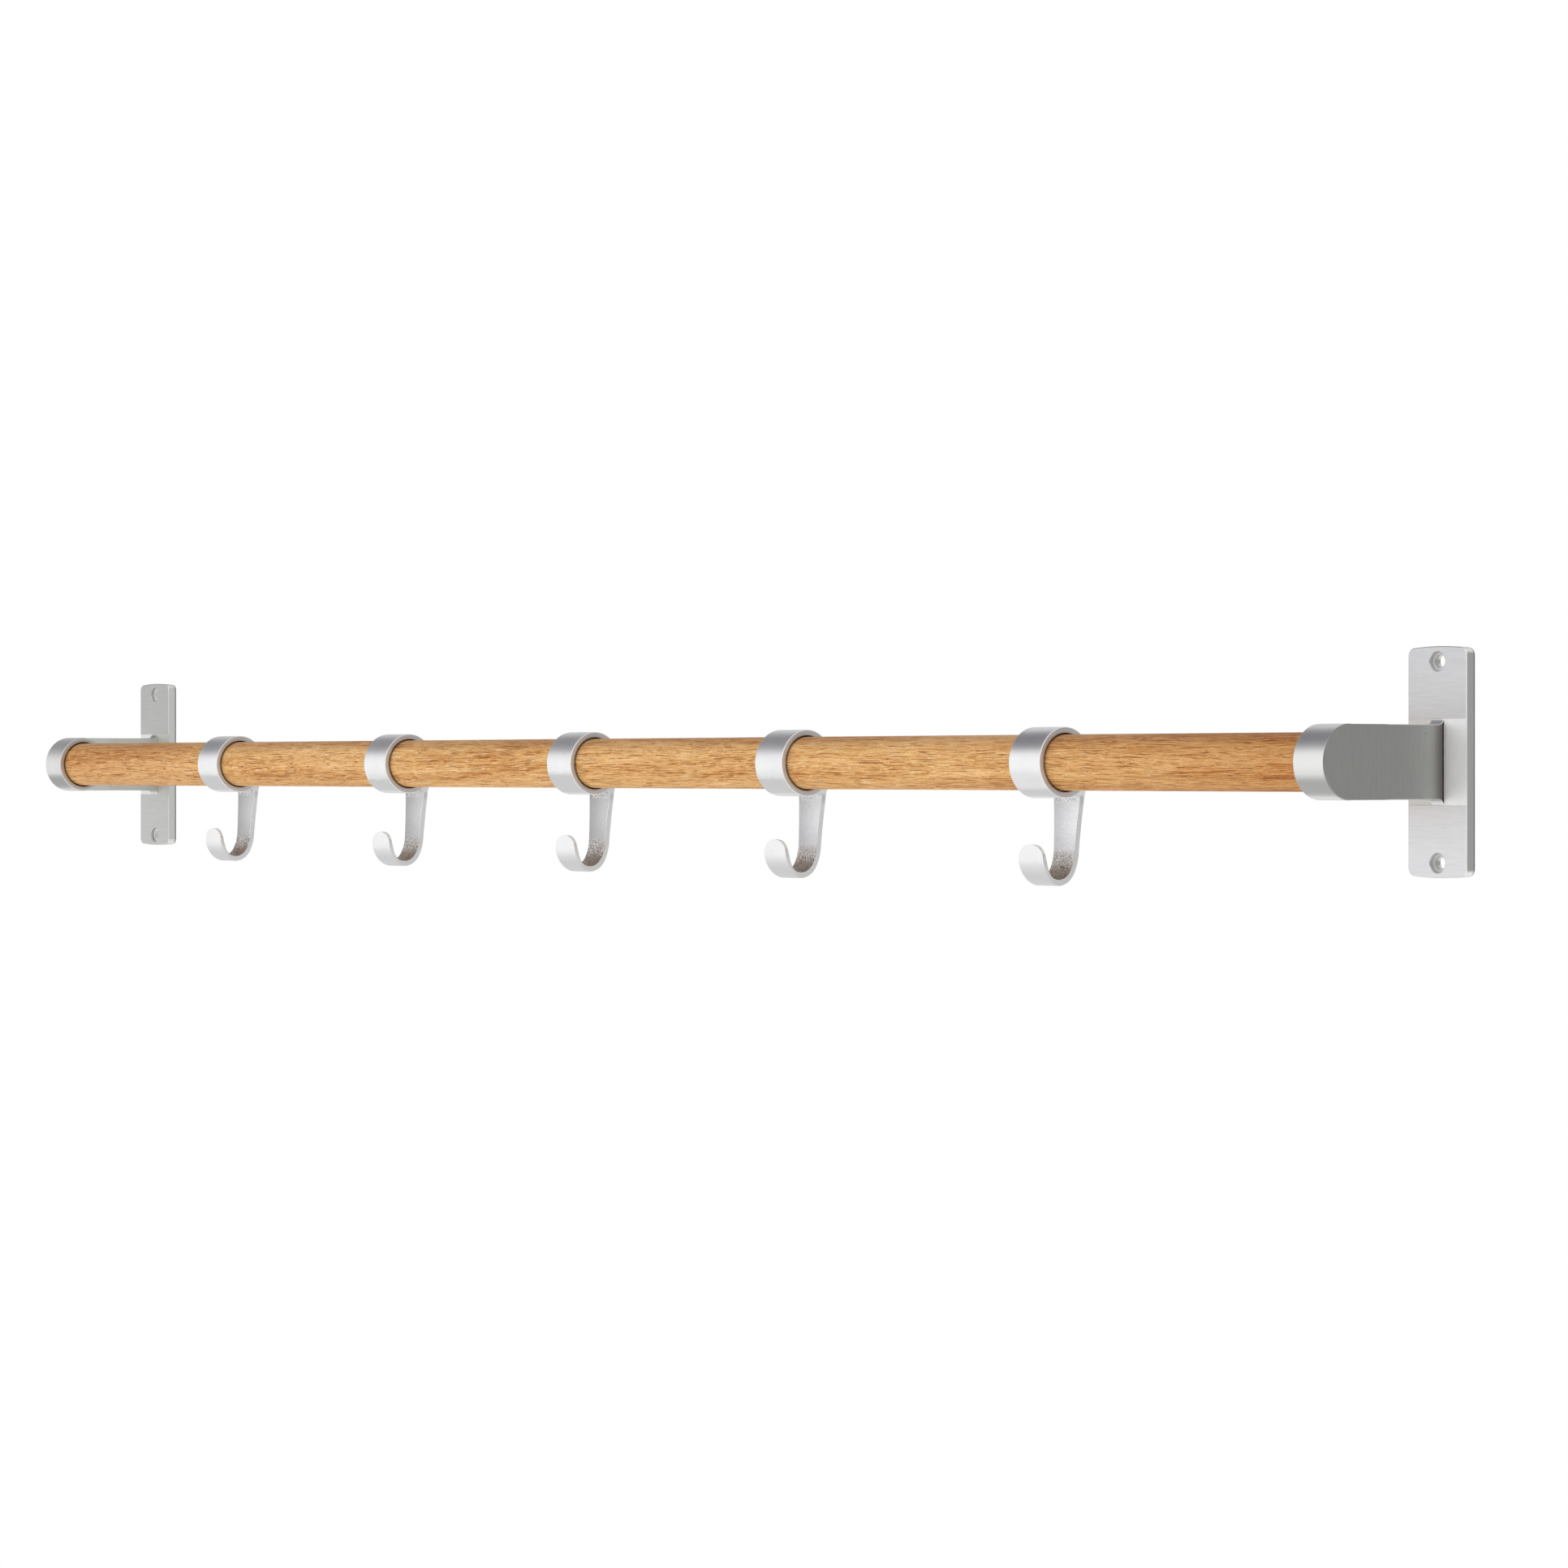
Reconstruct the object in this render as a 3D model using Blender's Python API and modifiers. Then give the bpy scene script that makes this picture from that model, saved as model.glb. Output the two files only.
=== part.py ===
"""Wall-hung hook rail: an oak dowel between two cast wall brackets, with five cast hooks on it.

The origin is on the wall plane, midway between the brackets and level with the dowel's axis.
+X runs along the dowel, +Y into the wall and +Z up. Lengths are in metres.
"""
import math

import bmesh
import bpy
from mathutils import Matrix

MM = 0.001

# Dowel
DOWEL_DIAMETER = 25.0 * MM

# Wall plates
BRACKET_SPACING = 1036.0 * MM      # between the middles of the two plates
PLATE_WIDTH = 33.0 * MM
PLATE_HEIGHT = 98.2 * MM
PLATE_THICKNESS = 5.4 * MM
PLATE_CROWN = 1.0 * MM             # how far the ends bow out in the middle
PLATE_CORNER_RADIUS = 3.5 * MM
PLATE_EDGE_RADIUS = 0.5 * MM
BAND_HEIGHT = 36.8 * MM            # the milled band that the arm stands on
BAND_DEPTH = 0.25 * MM

# Screw holes in the plates
SCREW_END_DISTANCE = 6.4 * MM      # from the plate's end to the hole's middle
SCREW_HOLE_DIAMETER = 5.8 * MM
COUNTERBORE_DIAMETER = 8.3 * MM
COUNTERBORE_DEPTH = 1.7 * MM
HOLE_EDGE_CHAMFER = 0.3 * MM

# Arms and cups
AXIS_TO_PLATE = 57.5 * MM          # from the dowel's axis to the plate's front face
ARM_THICKNESS = 7.0 * MM
ARM_INSET = 0.1 * MM               # the arm's top and bottom lie this far inside the cup's radius
ARM_FILLET_RADIUS = 3.2 * MM
ARM_EDGE_RADIUS = 0.4 * MM
CUP_LENGTH = 17.5 * MM
CUP_WALL = 2.95 * MM
CUP_FLOOR = 4.0 * MM
CUP_EDGE_RADIUS = 0.6 * MM
CUP_MOUTH_CHAMFER = 0.4 * MM
DOWEL_CUP_CLEARANCE = 0.5 * MM     # all round the dowel, inside the cup
DOWEL_END_CLEARANCE = 0.5 * MM     # between each end of the dowel and the cup's floor

# Hook rings
HOOK_PLACES = (-340.0 * MM, -171.5 * MM, -6.0 * MM, 161.5 * MM, 340.5 * MM)
RING_CLEARANCE = 0.5 * MM          # all round the dowel, inside the ring
RING_WALL = 2.9 * MM
RING_WIDTH = 20.3 * MM
RING_EDGE_RADIUS = 0.5 * MM
RING_BORE_CHAMFER = 0.3 * MM

# Hook blades, from the ring down, round the bend and up to the tip
HOOK_DROP = 55.0 * MM              # from the dowel's axis to the lowest point
LIP_HEIGHT = 18.6 * MM             # from the lowest point up to the tip
BLADE_INSET = 3.2 * MM             # the strip's middle, inside the ring's outer radius
BLADE_LEAN = math.radians(4.0)
BACK_RADIUS = 21.0 * MM
BACK_END = math.radians(30.0)
BEND_RADIUS = 9.2 * MM
BEND_END = math.radians(150.0)
FRONT_RADIUS = 16.0 * MM
STRIP_THICKNESS = 2.8 * MM         # at the ring
BEND_THICKNESS = 3.1 * MM
LIP_THICKNESS = 2.2 * MM
ROOT_HALF_WIDTH = 8.55 * MM
WAIST_HALF_WIDTH = 6.85 * MM
LIP_HALF_WIDTH = 8.3 * MM
LIP_ROUND_LENGTH = 8.6 * MM        # how much of the lip its round end takes
LIP_ROUND_POWER = 2.3              # 2 is an ellipse, more is squarer
TAPER_POWER = 1.4                  # 1 tapers evenly, more tapers sooner
BLADE_EDGE_RADIUS = 0.45 * MM
BACK_FILLET_RADIUS = 20.0 * MM
FRONT_FILLET_RADIUS = 2.8 * MM
FRONT_FILLET_SWEEP = math.radians(75.0)
SIDE_FILLET_RADIUS = 12.0 * MM
FILLET_SINK = 0.3 * MM             # how far a fillet runs into what it blends with

# Materials: colour, roughness and metallic
OAK = ((0.55, 0.30, 0.12), 0.55, 0.0)
BRACKET_ALUMINIUM = ((0.62, 0.63, 0.61), 0.38, 1.0)
HOOK_ALUMINIUM = ((0.70, 0.71, 0.71), 0.32, 1.0)

# Facets
ROUND_STEPS = 40
HOLE_STEPS = 24
EDGE_STEPS = 2
CORNER_STEPS = 5
CROWN_STEPS = 6
FILLET_STEPS = 5
BACK_FILLET_STEPS = 3
STRIP_STEPS = 5
BACK_STEPS = 3
BEND_STEPS = 5
LIP_STEPS = 10
ROUND_END_STEPS = 8
BEVEL_ANGLE = math.radians(50.0)   # corners sharper than this get a bevel
SMOOTH_ANGLE = math.radians(50.0)  # corners sharper than this stay sharp to the eye
FLAT_ANGLE = math.radians(0.1)     # faces that turn by less than this are one face
LENGTH_ROUNDING = 0.001 * MM       # lengths closer than this are the same
CUT_MARGIN = 1.0 * MM              # how far a cutter stands out of what it cuts

# Sizes that follow from the ones above
DOWEL_RADIUS = DOWEL_DIAMETER / 2
AXIS_Y = -(PLATE_THICKNESS + AXIS_TO_PLATE)
SOCKET_RADIUS = DOWEL_RADIUS + DOWEL_CUP_CLEARANCE
CUP_RADIUS = SOCKET_RADIUS + CUP_WALL
CUP_OUTER_FACE = (BRACKET_SPACING + ARM_THICKNESS) / 2
DOWEL_LENGTH = 2 * (CUP_OUTER_FACE - CUP_FLOOR - DOWEL_END_CLEARANCE)
RING_BORE_RADIUS = DOWEL_RADIUS + RING_CLEARANCE
RING_RADIUS = RING_BORE_RADIUS + RING_WALL
SCREW_HEIGHT = PLATE_HEIGHT / 2 - SCREW_END_DISTANCE

# Local (x, y, z) of a flat outline or a turned shape laid into the world
SIDE_VIEW = Matrix(((0, 0, 1, 0), (1, 0, 0, 0), (0, 1, 0, 0), (0, 0, 0, 1)))
FRONT_VIEW = Matrix(((1, 0, 0, 0), (0, 0, -1, 0), (0, 1, 0, 0), (0, 0, 0, 1)))


def clear_scene():
    for old in list(bpy.data.objects):
        bpy.data.objects.remove(old, do_unlink=True)


def new_collection(name):
    collection = bpy.data.collections.new(name)
    bpy.context.scene.collection.children.link(collection)
    return collection


def new_material(name, colour, roughness, metallic):
    material = bpy.data.materials.new(name)
    material.use_nodes = True
    shader = material.node_tree.nodes["Principled BSDF"]
    shader.inputs["Base Color"].default_value = (*colour, 1.0)
    shader.inputs["Roughness"].default_value = roughness
    shader.inputs["Metallic"].default_value = metallic
    material.diffuse_color = (*colour, 1.0)
    return material


def add_object(name, mesh, collection, location=(0, 0, 0)):
    thing = bpy.data.objects.new(name, mesh)
    thing.location = location
    collection.objects.link(thing)
    return thing


def evaluated_mesh(thing, name):
    """The object's mesh with its modifiers, or its curve's surface, in its own axes."""
    bpy.context.view_layer.update()
    graph = bpy.context.evaluated_depsgraph_get()
    mesh = bpy.data.meshes.new_from_object(thing.evaluated_get(graph))
    mesh.name = name
    return mesh


def weld(mesh):
    shape = bmesh.new()
    shape.from_mesh(mesh)
    bmesh.ops.remove_doubles(shape, verts=shape.verts, dist=LENGTH_ROUNDING)
    bmesh.ops.recalc_face_normals(shape, faces=shape.faces)
    shape.to_mesh(mesh)
    shape.free()


def join_flats(mesh):
    """One face for the triangles that fill a flat outline, so that a bevel runs evenly round it."""
    shape = bmesh.new()
    shape.from_mesh(mesh)
    bmesh.ops.dissolve_limit(shape, angle_limit=FLAT_ANGLE, verts=shape.verts, edges=shape.edges)
    shape.to_mesh(mesh)
    shape.free()


def smooth(share):
    """Eases from 0 to 1 without a corner at either end."""
    share = min(max(share, 0.0), 1.0)
    return share * share * (3 - 2 * share)


def spread(start, end, steps):
    return [start + (end - start) * i / steps for i in range(steps + 1)]


def arc(centre, radius, start, end, steps):
    """Points along an arc, from one angle to another in radians, with both ends."""
    points = []
    for i in range(steps + 1):
        angle = start + (end - start) * i / steps
        points.append((centre[0] + radius * math.cos(angle), centre[1] + radius * math.sin(angle)))
    return points


def extruded(name, outline, depth, view, collection):
    """A flat outline with the given depth, centred on its plane and turned into a view."""
    curve = bpy.data.curves.new(name, "CURVE")
    curve.dimensions = "2D"
    curve.fill_mode = "BOTH"
    curve.extrude = depth / 2
    spline = curve.splines.new("POLY")
    spline.points.add(len(outline) - 1)
    for point, (x, y) in zip(spline.points, outline):
        point.co = (x, y, 0, 1)
    spline.use_cyclic_u = True
    flat = add_object(name + "_outline", curve, collection)
    mesh = evaluated_mesh(flat, name)
    bpy.data.objects.remove(flat, do_unlink=True)
    bpy.data.curves.remove(curve)
    weld(mesh)
    join_flats(mesh)
    mesh.transform(view)
    return add_object(name, mesh, collection)


def turned(name, profile, steps, collection):
    """A profile of (radius, height) points turned about X; it runs from the +X end to the -X end."""
    mesh = bpy.data.meshes.new(name)
    edges = [(i, i + 1) for i in range(len(profile) - 1)]
    mesh.from_pydata([(radius, 0, height) for radius, height in profile], edges, [])
    lathe = add_object(name + "_profile", mesh, collection)
    screw = lathe.modifiers.new("turn", "SCREW")
    screw.axis = "Z"
    screw.steps = steps
    screw.render_steps = steps
    screw.use_merge_vertices = True
    screw.merge_threshold = LENGTH_ROUNDING
    solid = evaluated_mesh(lathe, name)
    bpy.data.objects.remove(lathe, do_unlink=True)
    bpy.data.meshes.remove(mesh)
    weld(solid)
    solid.transform(SIDE_VIEW)
    return add_object(name, solid, collection)


def rounded_disc(radius, half_width, edge):
    """Profile of a disc on its axis with both outer edges rounded."""
    quarter = math.pi / 2
    top = arc((radius - edge, half_width - edge), edge, quarter, 0, EDGE_STEPS)
    bottom = arc((radius - edge, edge - half_width), edge, 0, -quarter, EDGE_STEPS)
    return [(0, half_width)] + top + bottom + [(0, -half_width)]


def flared_bore(radius, near, far, chamfer, blind):
    """Profile of a cutter from near to far along its axis, flared where it leaves the material."""
    out = radius + chamfer + CUT_MARGIN
    profile = [(0, far + CUT_MARGIN), (out, far + CUT_MARGIN), (radius, far - chamfer)]
    if blind:
        return profile + [(radius, near), (0, near)]
    return profile + [(radius, near + chamfer), (out, near - CUT_MARGIN), (0, near - CUT_MARGIN)]


def lofted(name, loops, collection):
    """A solid through a row of unlike sections with the same number of points."""
    shape = bmesh.new()
    rings = [[shape.verts.new(point) for point in loop] for loop in loops]
    for one, two in zip(rings, rings[1:]):
        for i in range(len(one)):
            j = (i + 1) % len(one)
            shape.faces.new((one[i], one[j], two[j], two[i]))
    shape.faces.new(rings[0])
    shape.faces.new(rings[-1])
    bmesh.ops.recalc_face_normals(shape, faces=shape.faces)
    bmesh.ops.triangulate(shape, faces=shape.faces)
    mesh = bpy.data.meshes.new(name)
    shape.to_mesh(mesh)
    shape.free()
    return add_object(name, mesh, collection)


def combined(name, base, steps):
    """The mesh of a base solid, placed, after a list of (operation, other solid) steps."""
    for operation, other in steps:
        modifier = base.modifiers.new(other.name, "BOOLEAN")
        modifier.operation = operation
        modifier.solver = "EXACT"
        modifier.object = other
        other.hide_render = True
        other.display_type = "WIRE"
    mesh = evaluated_mesh(base, name)
    mesh.transform(base.matrix_world)
    for used in [base] + [other for _, other in steps]:
        bpy.data.objects.remove(used, do_unlink=True)
    return mesh


def add_bevel(thing, width, segments):
    bevel = thing.modifiers.new("edges", "BEVEL")
    bevel.width = width
    bevel.segments = segments
    bevel.limit_method = "ANGLE"
    bevel.angle_limit = BEVEL_ANGLE


def finish(mesh, material):
    """Gives a mesh its material and smooths its round faces."""
    mesh.materials.clear()
    mesh.materials.append(material)
    mesh.shade_smooth()
    mesh.set_sharp_from_angle(angle=SMOOTH_ANGLE)


def add_part(name, mesh, collection, location):
    """A finished piece; its flat faces shade flat up to their rounded edges."""
    thing = add_object(name, mesh, collection, location)
    normals = thing.modifiers.new("normals", "WEIGHTED_NORMAL")
    normals.keep_sharp = True


def make_dowel(material, parts, tools):
    half = DOWEL_LENGTH / 2
    profile = [(0, half), (DOWEL_RADIUS, half), (DOWEL_RADIUS, -half), (0, -half)]
    mesh = combined("rail", turned("dowel", profile, ROUND_STEPS, tools), [])
    finish(mesh, material)
    add_part("rail", mesh, parts, (0, AXIS_Y, 0))


def plate_outline():
    """A plate with bowed ends and rounded corners, in the front view about its own middle."""
    half_width = PLATE_WIDTH / 2
    half_height = PLATE_HEIGHT / 2
    bow = (half_width ** 2 + PLATE_CROWN ** 2) / (2 * PLATE_CROWN)
    bow_centre = half_height - bow
    corner_x = half_width - PLATE_CORNER_RADIUS
    corner_z = bow_centre + math.sqrt((bow - PLATE_CORNER_RADIUS) ** 2 - corner_x ** 2)
    turn = math.atan2(corner_z - bow_centre, corner_x)
    corner = arc((corner_x, corner_z), PLATE_CORNER_RADIUS, 0, turn, CORNER_STEPS)
    crown = arc((0, bow_centre), bow, turn, math.pi - turn, CROWN_STEPS)
    right_and_top = corner + crown[1:-1]
    other_corner = [(-x, z) for x, z in reversed(corner)]
    upper = right_and_top + other_corner
    return upper + [(-x, -z) for x, z in upper]


def arm_outline():
    """Side view of the arm: from the cup's middle back into the plate, with its two fillets."""
    half = CUP_RADIUS - ARM_INSET
    face = AXIS_Y + AXIS_TO_PLATE
    root = face + PLATE_THICKNESS / 2
    fillet_y = face - ARM_FILLET_RADIUS + FILLET_SINK
    top_fillet = arc((fillet_y, half + ARM_FILLET_RADIUS), ARM_FILLET_RADIUS,
                     -math.pi / 2, 0, FILLET_STEPS)
    top = [(AXIS_Y, half)] + top_fillet + [(root, half + ARM_FILLET_RADIUS)]
    bottom = [(y, -z) for y, z in reversed(top)]
    return bottom + top


def screw_cutter(name, tools):
    """A stepped cutter for one screw hole, along the turning axis, its wide end at +X."""
    wide = COUNTERBORE_DIAMETER / 2
    narrow = SCREW_HOLE_DIAMETER / 2
    front = PLATE_THICKNESS
    out = wide + HOLE_EDGE_CHAMFER + CUT_MARGIN
    step = front - COUNTERBORE_DEPTH
    profile = [
        (0, front + CUT_MARGIN),
        (out, front + CUT_MARGIN),
        (wide, front - HOLE_EDGE_CHAMFER),
        (wide, step),
        (narrow, step),
        (narrow, -CUT_MARGIN),
        (0, -CUT_MARGIN),
    ]
    cutter = turned(name, profile, HOLE_STEPS, tools)
    cutter.rotation_euler = (0, 0, -math.pi / 2)
    return cutter


def make_bracket(name, side, material, parts, tools):
    """One bracket; side is -1 for the left one and +1 for the right one."""
    middle = side * BRACKET_SPACING / 2
    outer_face = side * CUP_OUTER_FACE

    plate = extruded(name + "_plate", plate_outline(), PLATE_THICKNESS, FRONT_VIEW, tools)
    plate.location = (middle, -PLATE_THICKNESS / 2, 0)
    add_bevel(plate, PLATE_EDGE_RADIUS, EDGE_STEPS)

    band_top = BAND_HEIGHT / 2
    band_outline = [
        (-PLATE_WIDTH, -band_top),
        (PLATE_WIDTH, -band_top),
        (PLATE_WIDTH, band_top),
        (-PLATE_WIDTH, band_top),
    ]
    band = extruded(name + "_band", band_outline, 2 * CUT_MARGIN, FRONT_VIEW, tools)
    band.location = (middle, BAND_DEPTH - PLATE_THICKNESS - CUT_MARGIN, 0)

    arm = extruded(name + "_arm", arm_outline(), ARM_THICKNESS, SIDE_VIEW, tools)
    arm.location = (middle, 0, 0)
    add_bevel(arm, ARM_EDGE_RADIUS, EDGE_STEPS)

    cup_profile = rounded_disc(CUP_RADIUS, CUP_LENGTH / 2, CUP_EDGE_RADIUS)
    cup = turned(name + "_cup", cup_profile, ROUND_STEPS, tools)
    cup.location = (outer_face - side * CUP_LENGTH / 2, AXIS_Y, 0)

    socket_profile = flared_bore(SOCKET_RADIUS, 0, CUP_LENGTH - CUP_FLOOR, CUP_MOUTH_CHAMFER, True)
    socket = turned(name + "_socket", socket_profile, ROUND_STEPS, tools)
    socket.location = (outer_face - side * CUP_FLOOR, AXIS_Y, 0)
    if side > 0:
        socket.rotation_euler = (0, 0, math.pi)

    steps = [("DIFFERENCE", band), ("UNION", arm), ("UNION", cup), ("DIFFERENCE", socket)]
    for height in (SCREW_HEIGHT, -SCREW_HEIGHT):
        hole = screw_cutter(name + "_screw_hole", tools)
        hole.location = (middle, 0, height)
        steps.append(("DIFFERENCE", hole))
    mesh = combined(name, plate, steps)
    mesh.transform(Matrix.Translation((-middle, 0, 0)))
    finish(mesh, material)
    add_part(name, mesh, parts, (middle, 0, 0))


class BladePath:
    """The hook blade's middle line, in (y, z) about the dowel's axis, and what lies along it.

    Distances run down the line from the dowel's axis level. A heading is 0 straight down, a
    quarter turn towards the room and a half turn straight up.
    """

    def __init__(self):
        back_drop = BACK_RADIUS * (math.sin(BACK_END) - math.sin(BLADE_LEAN))
        bend_drop = BEND_RADIUS * (1 - math.sin(BACK_END))
        strip_drop = HOOK_DROP - BEND_THICKNESS / 2 - back_drop - bend_drop
        bend_rise = BEND_RADIUS * (1 - math.sin(BEND_END))
        front_rise = FRONT_RADIUS * math.sin(BEND_END)
        lip_length = LIP_HEIGHT - BEND_THICKNESS / 2 - bend_rise - front_rise

        self.start_y = RING_RADIUS - BLADE_INSET
        self.strip_end = strip_drop / math.cos(BLADE_LEAN)
        self.bend_start = self.strip_end + BACK_RADIUS * (BACK_END - BLADE_LEAN)
        self.lowest = self.bend_start + BEND_RADIUS * (math.pi / 2 - BACK_END)
        self.bend_end = self.bend_start + BEND_RADIUS * (BEND_END - BACK_END)
        self.front_end = self.bend_end + FRONT_RADIUS * (math.pi - BEND_END)
        self.tip = self.front_end + lip_length
        self.round_start = self.tip - LIP_ROUND_LENGTH

        # The fillets that blend the strip with the ring, each tangent to the strip
        foot = self.start_y * math.sin(BLADE_LEAN)
        reach = self.start_y * math.cos(BLADE_LEAN)
        half = STRIP_THICKNESS / 2
        back_out = reach + half + BACK_FILLET_RADIUS
        back_far = RING_RADIUS + BACK_FILLET_RADIUS - FILLET_SINK
        back_down = math.sqrt(back_far ** 2 - back_out ** 2)
        front_out = reach - half - FRONT_FILLET_RADIUS
        front_far = RING_RADIUS + FRONT_FILLET_RADIUS - FILLET_SINK
        front_down = math.sqrt(front_far ** 2 - front_out ** 2)
        self.back_fillet = foot + back_down
        self.front_fillet = foot + front_down
        self.top = foot + back_down * RING_RADIUS / back_far

    def point(self, distance):
        """Place and heading on the middle line."""
        y, z, heading = self.start_y, 0.0, BLADE_LEAN
        strip = min(distance, self.strip_end)
        y -= strip * math.sin(heading)
        z -= strip * math.cos(heading)
        rest = distance - strip
        bends = ((BACK_RADIUS, BACK_END), (BEND_RADIUS, BEND_END), (FRONT_RADIUS, math.pi))
        for radius, end in bends:
            turn = min(rest / radius, end - heading)
            y += radius * (math.cos(heading + turn) - math.cos(heading))
            z += radius * (math.sin(heading) - math.sin(heading + turn))
            heading += turn
            rest -= turn * radius
        return y, z + rest, heading

    def taper(self, distance):
        """1 where the strip leaves the ring's fillet, falling to 0 at the strip's end."""
        share = (distance - self.front_fillet) / (self.strip_end - self.front_fillet)
        return (1 - min(max(share, 0.0), 1.0)) ** TAPER_POWER

    def thickness(self, distance):
        if distance <= self.lowest:
            return BEND_THICKNESS + (STRIP_THICKNESS - BEND_THICKNESS) * self.taper(distance)
        share = (distance - self.lowest) / (self.bend_end - self.lowest)
        return BEND_THICKNESS + (LIP_THICKNESS - BEND_THICKNESS) * smooth(share)

    def half_width(self, distance):
        if distance <= self.lowest:
            width = WAIST_HALF_WIDTH + (ROOT_HALF_WIDTH - WAIST_HALF_WIDTH) * self.taper(distance)
            above = min(max(self.front_fillet - distance, 0.0), SIDE_FILLET_RADIUS)
            width += SIDE_FILLET_RADIUS - math.sqrt(SIDE_FILLET_RADIUS ** 2 - above ** 2)
            return min(width, RING_WIDTH / 2 - FILLET_SINK)
        if distance <= self.round_start:
            share = (distance - self.lowest) / (self.round_start - self.lowest)
            return WAIST_HALF_WIDTH + (LIP_HALF_WIDTH - WAIST_HALF_WIDTH) * smooth(share)
        share = (distance - self.round_start) / LIP_ROUND_LENGTH
        return LIP_HALF_WIDTH * (1 - share ** LIP_ROUND_POWER) ** (1 / LIP_ROUND_POWER)

    def offsets(self, distance):
        """How far the faces lie from the middle line, on the outside and inside of the bend."""
        outer = inner = self.thickness(distance) / 2
        above = self.back_fillet - distance
        if above > 0:
            outer += BACK_FILLET_RADIUS - math.sqrt(BACK_FILLET_RADIUS ** 2 - above ** 2)
        above = self.front_fillet - distance
        if above > FRONT_FILLET_RADIUS * math.sin(FRONT_FILLET_SWEEP) + LENGTH_ROUNDING:
            inner += FRONT_FILLET_RADIUS + FILLET_SINK
        elif above > 0:
            inner += FRONT_FILLET_RADIUS - math.sqrt(FRONT_FILLET_RADIUS ** 2 - above ** 2)
        return outer, inner

    def stations(self):
        """Distances at which the blade gets a section, closer together where it bends."""
        sweep = [FRONT_FILLET_SWEEP * i / FILLET_STEPS for i in range(FILLET_STEPS, 0, -1)]
        fillet = [self.front_fillet - FRONT_FILLET_RADIUS * math.sin(angle) for angle in sweep]
        inside = fillet[0] - FILLET_SINK
        places = spread(self.top, inside, BACK_FILLET_STEPS) + fillet
        places += spread(self.front_fillet, self.strip_end, STRIP_STEPS)[:-1]
        places += spread(self.strip_end, self.bend_start, BACK_STEPS)[:-1]
        places += spread(self.bend_start, self.lowest, BEND_STEPS)[:-1]
        places += spread(self.lowest, self.round_start, LIP_STEPS)[:-1]
        for i in range(ROUND_END_STEPS):
            angle = math.pi / 2 * i / ROUND_END_STEPS
            places.append(self.round_start + LIP_ROUND_LENGTH * math.sin(angle))
        return places

    def section(self, distance):
        """Rounded rectangle across the blade, as (x, y, z) about the dowel's axis."""
        y, z, heading = self.point(distance)
        outer, inner = self.offsets(distance)
        half = self.half_width(distance)
        edge = min(BLADE_EDGE_RADIUS, half / 2)
        points = []
        for corner in range(4):
            start = corner * math.pi / 2
            across = (half - edge) * (1, -1, -1, 1)[corner]
            out = (outer - edge, outer - edge, edge - inner, edge - inner)[corner]
            for x, up in arc((across, out), edge, start, start + math.pi / 2, EDGE_STEPS):
                points.append((x, y + up * math.cos(heading), z - up * math.sin(heading)))
        return points


def make_hooks(material, parts, tools):
    ring_profile = rounded_disc(RING_RADIUS, RING_WIDTH / 2, RING_EDGE_RADIUS)
    ring = turned("hook_ring", ring_profile, ROUND_STEPS, tools)
    path = BladePath()
    blade = lofted("hook_blade", [path.section(place) for place in path.stations()], tools)
    half = RING_WIDTH / 2
    bore_profile = flared_bore(RING_BORE_RADIUS, -half, half, RING_BORE_CHAMFER, False)
    bore = turned("hook_bore", bore_profile, ROUND_STEPS, tools)
    mesh = combined("hook", ring, [("UNION", blade), ("DIFFERENCE", bore)])
    finish(mesh, material)
    for number, place in enumerate(HOOK_PLACES, start=1):
        add_part(f"hook_{number}", mesh, parts, (place, AXIS_Y, 0))


def main():
    clear_scene()
    parts = new_collection("hook_rail")
    tools = new_collection("hook_rail_cutters")
    bracket_metal = new_material("bracket_aluminium", *BRACKET_ALUMINIUM)
    hook_metal = new_material("hook_aluminium", *HOOK_ALUMINIUM)
    make_dowel(new_material("oak", *OAK), parts, tools)
    make_bracket("left_bracket", -1, bracket_metal, parts, tools)
    make_bracket("right_bracket", 1, bracket_metal, parts, tools)
    make_hooks(hook_metal, parts, tools)


main()
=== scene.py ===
"""Looks for the wall-hung hook rail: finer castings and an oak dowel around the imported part.

Metres, +X along the dowel, +Y into the wall, +Z up. The origin is on the wall plane.
"""

import math
from collections import namedtuple

import bmesh
import bpy
from mathutils import Matrix, Vector


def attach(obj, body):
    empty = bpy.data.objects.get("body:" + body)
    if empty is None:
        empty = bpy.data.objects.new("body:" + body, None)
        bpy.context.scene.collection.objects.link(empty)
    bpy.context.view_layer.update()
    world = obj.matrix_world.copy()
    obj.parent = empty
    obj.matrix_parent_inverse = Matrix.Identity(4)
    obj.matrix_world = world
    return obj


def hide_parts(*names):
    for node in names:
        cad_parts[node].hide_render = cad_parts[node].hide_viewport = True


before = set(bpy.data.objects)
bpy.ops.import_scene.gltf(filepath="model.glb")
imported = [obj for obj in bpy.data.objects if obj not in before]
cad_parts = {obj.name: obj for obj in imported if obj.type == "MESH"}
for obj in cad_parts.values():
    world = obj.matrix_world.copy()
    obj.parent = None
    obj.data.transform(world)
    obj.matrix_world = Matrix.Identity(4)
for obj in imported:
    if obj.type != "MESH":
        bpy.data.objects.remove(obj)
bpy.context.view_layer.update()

MM = 0.001

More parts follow.
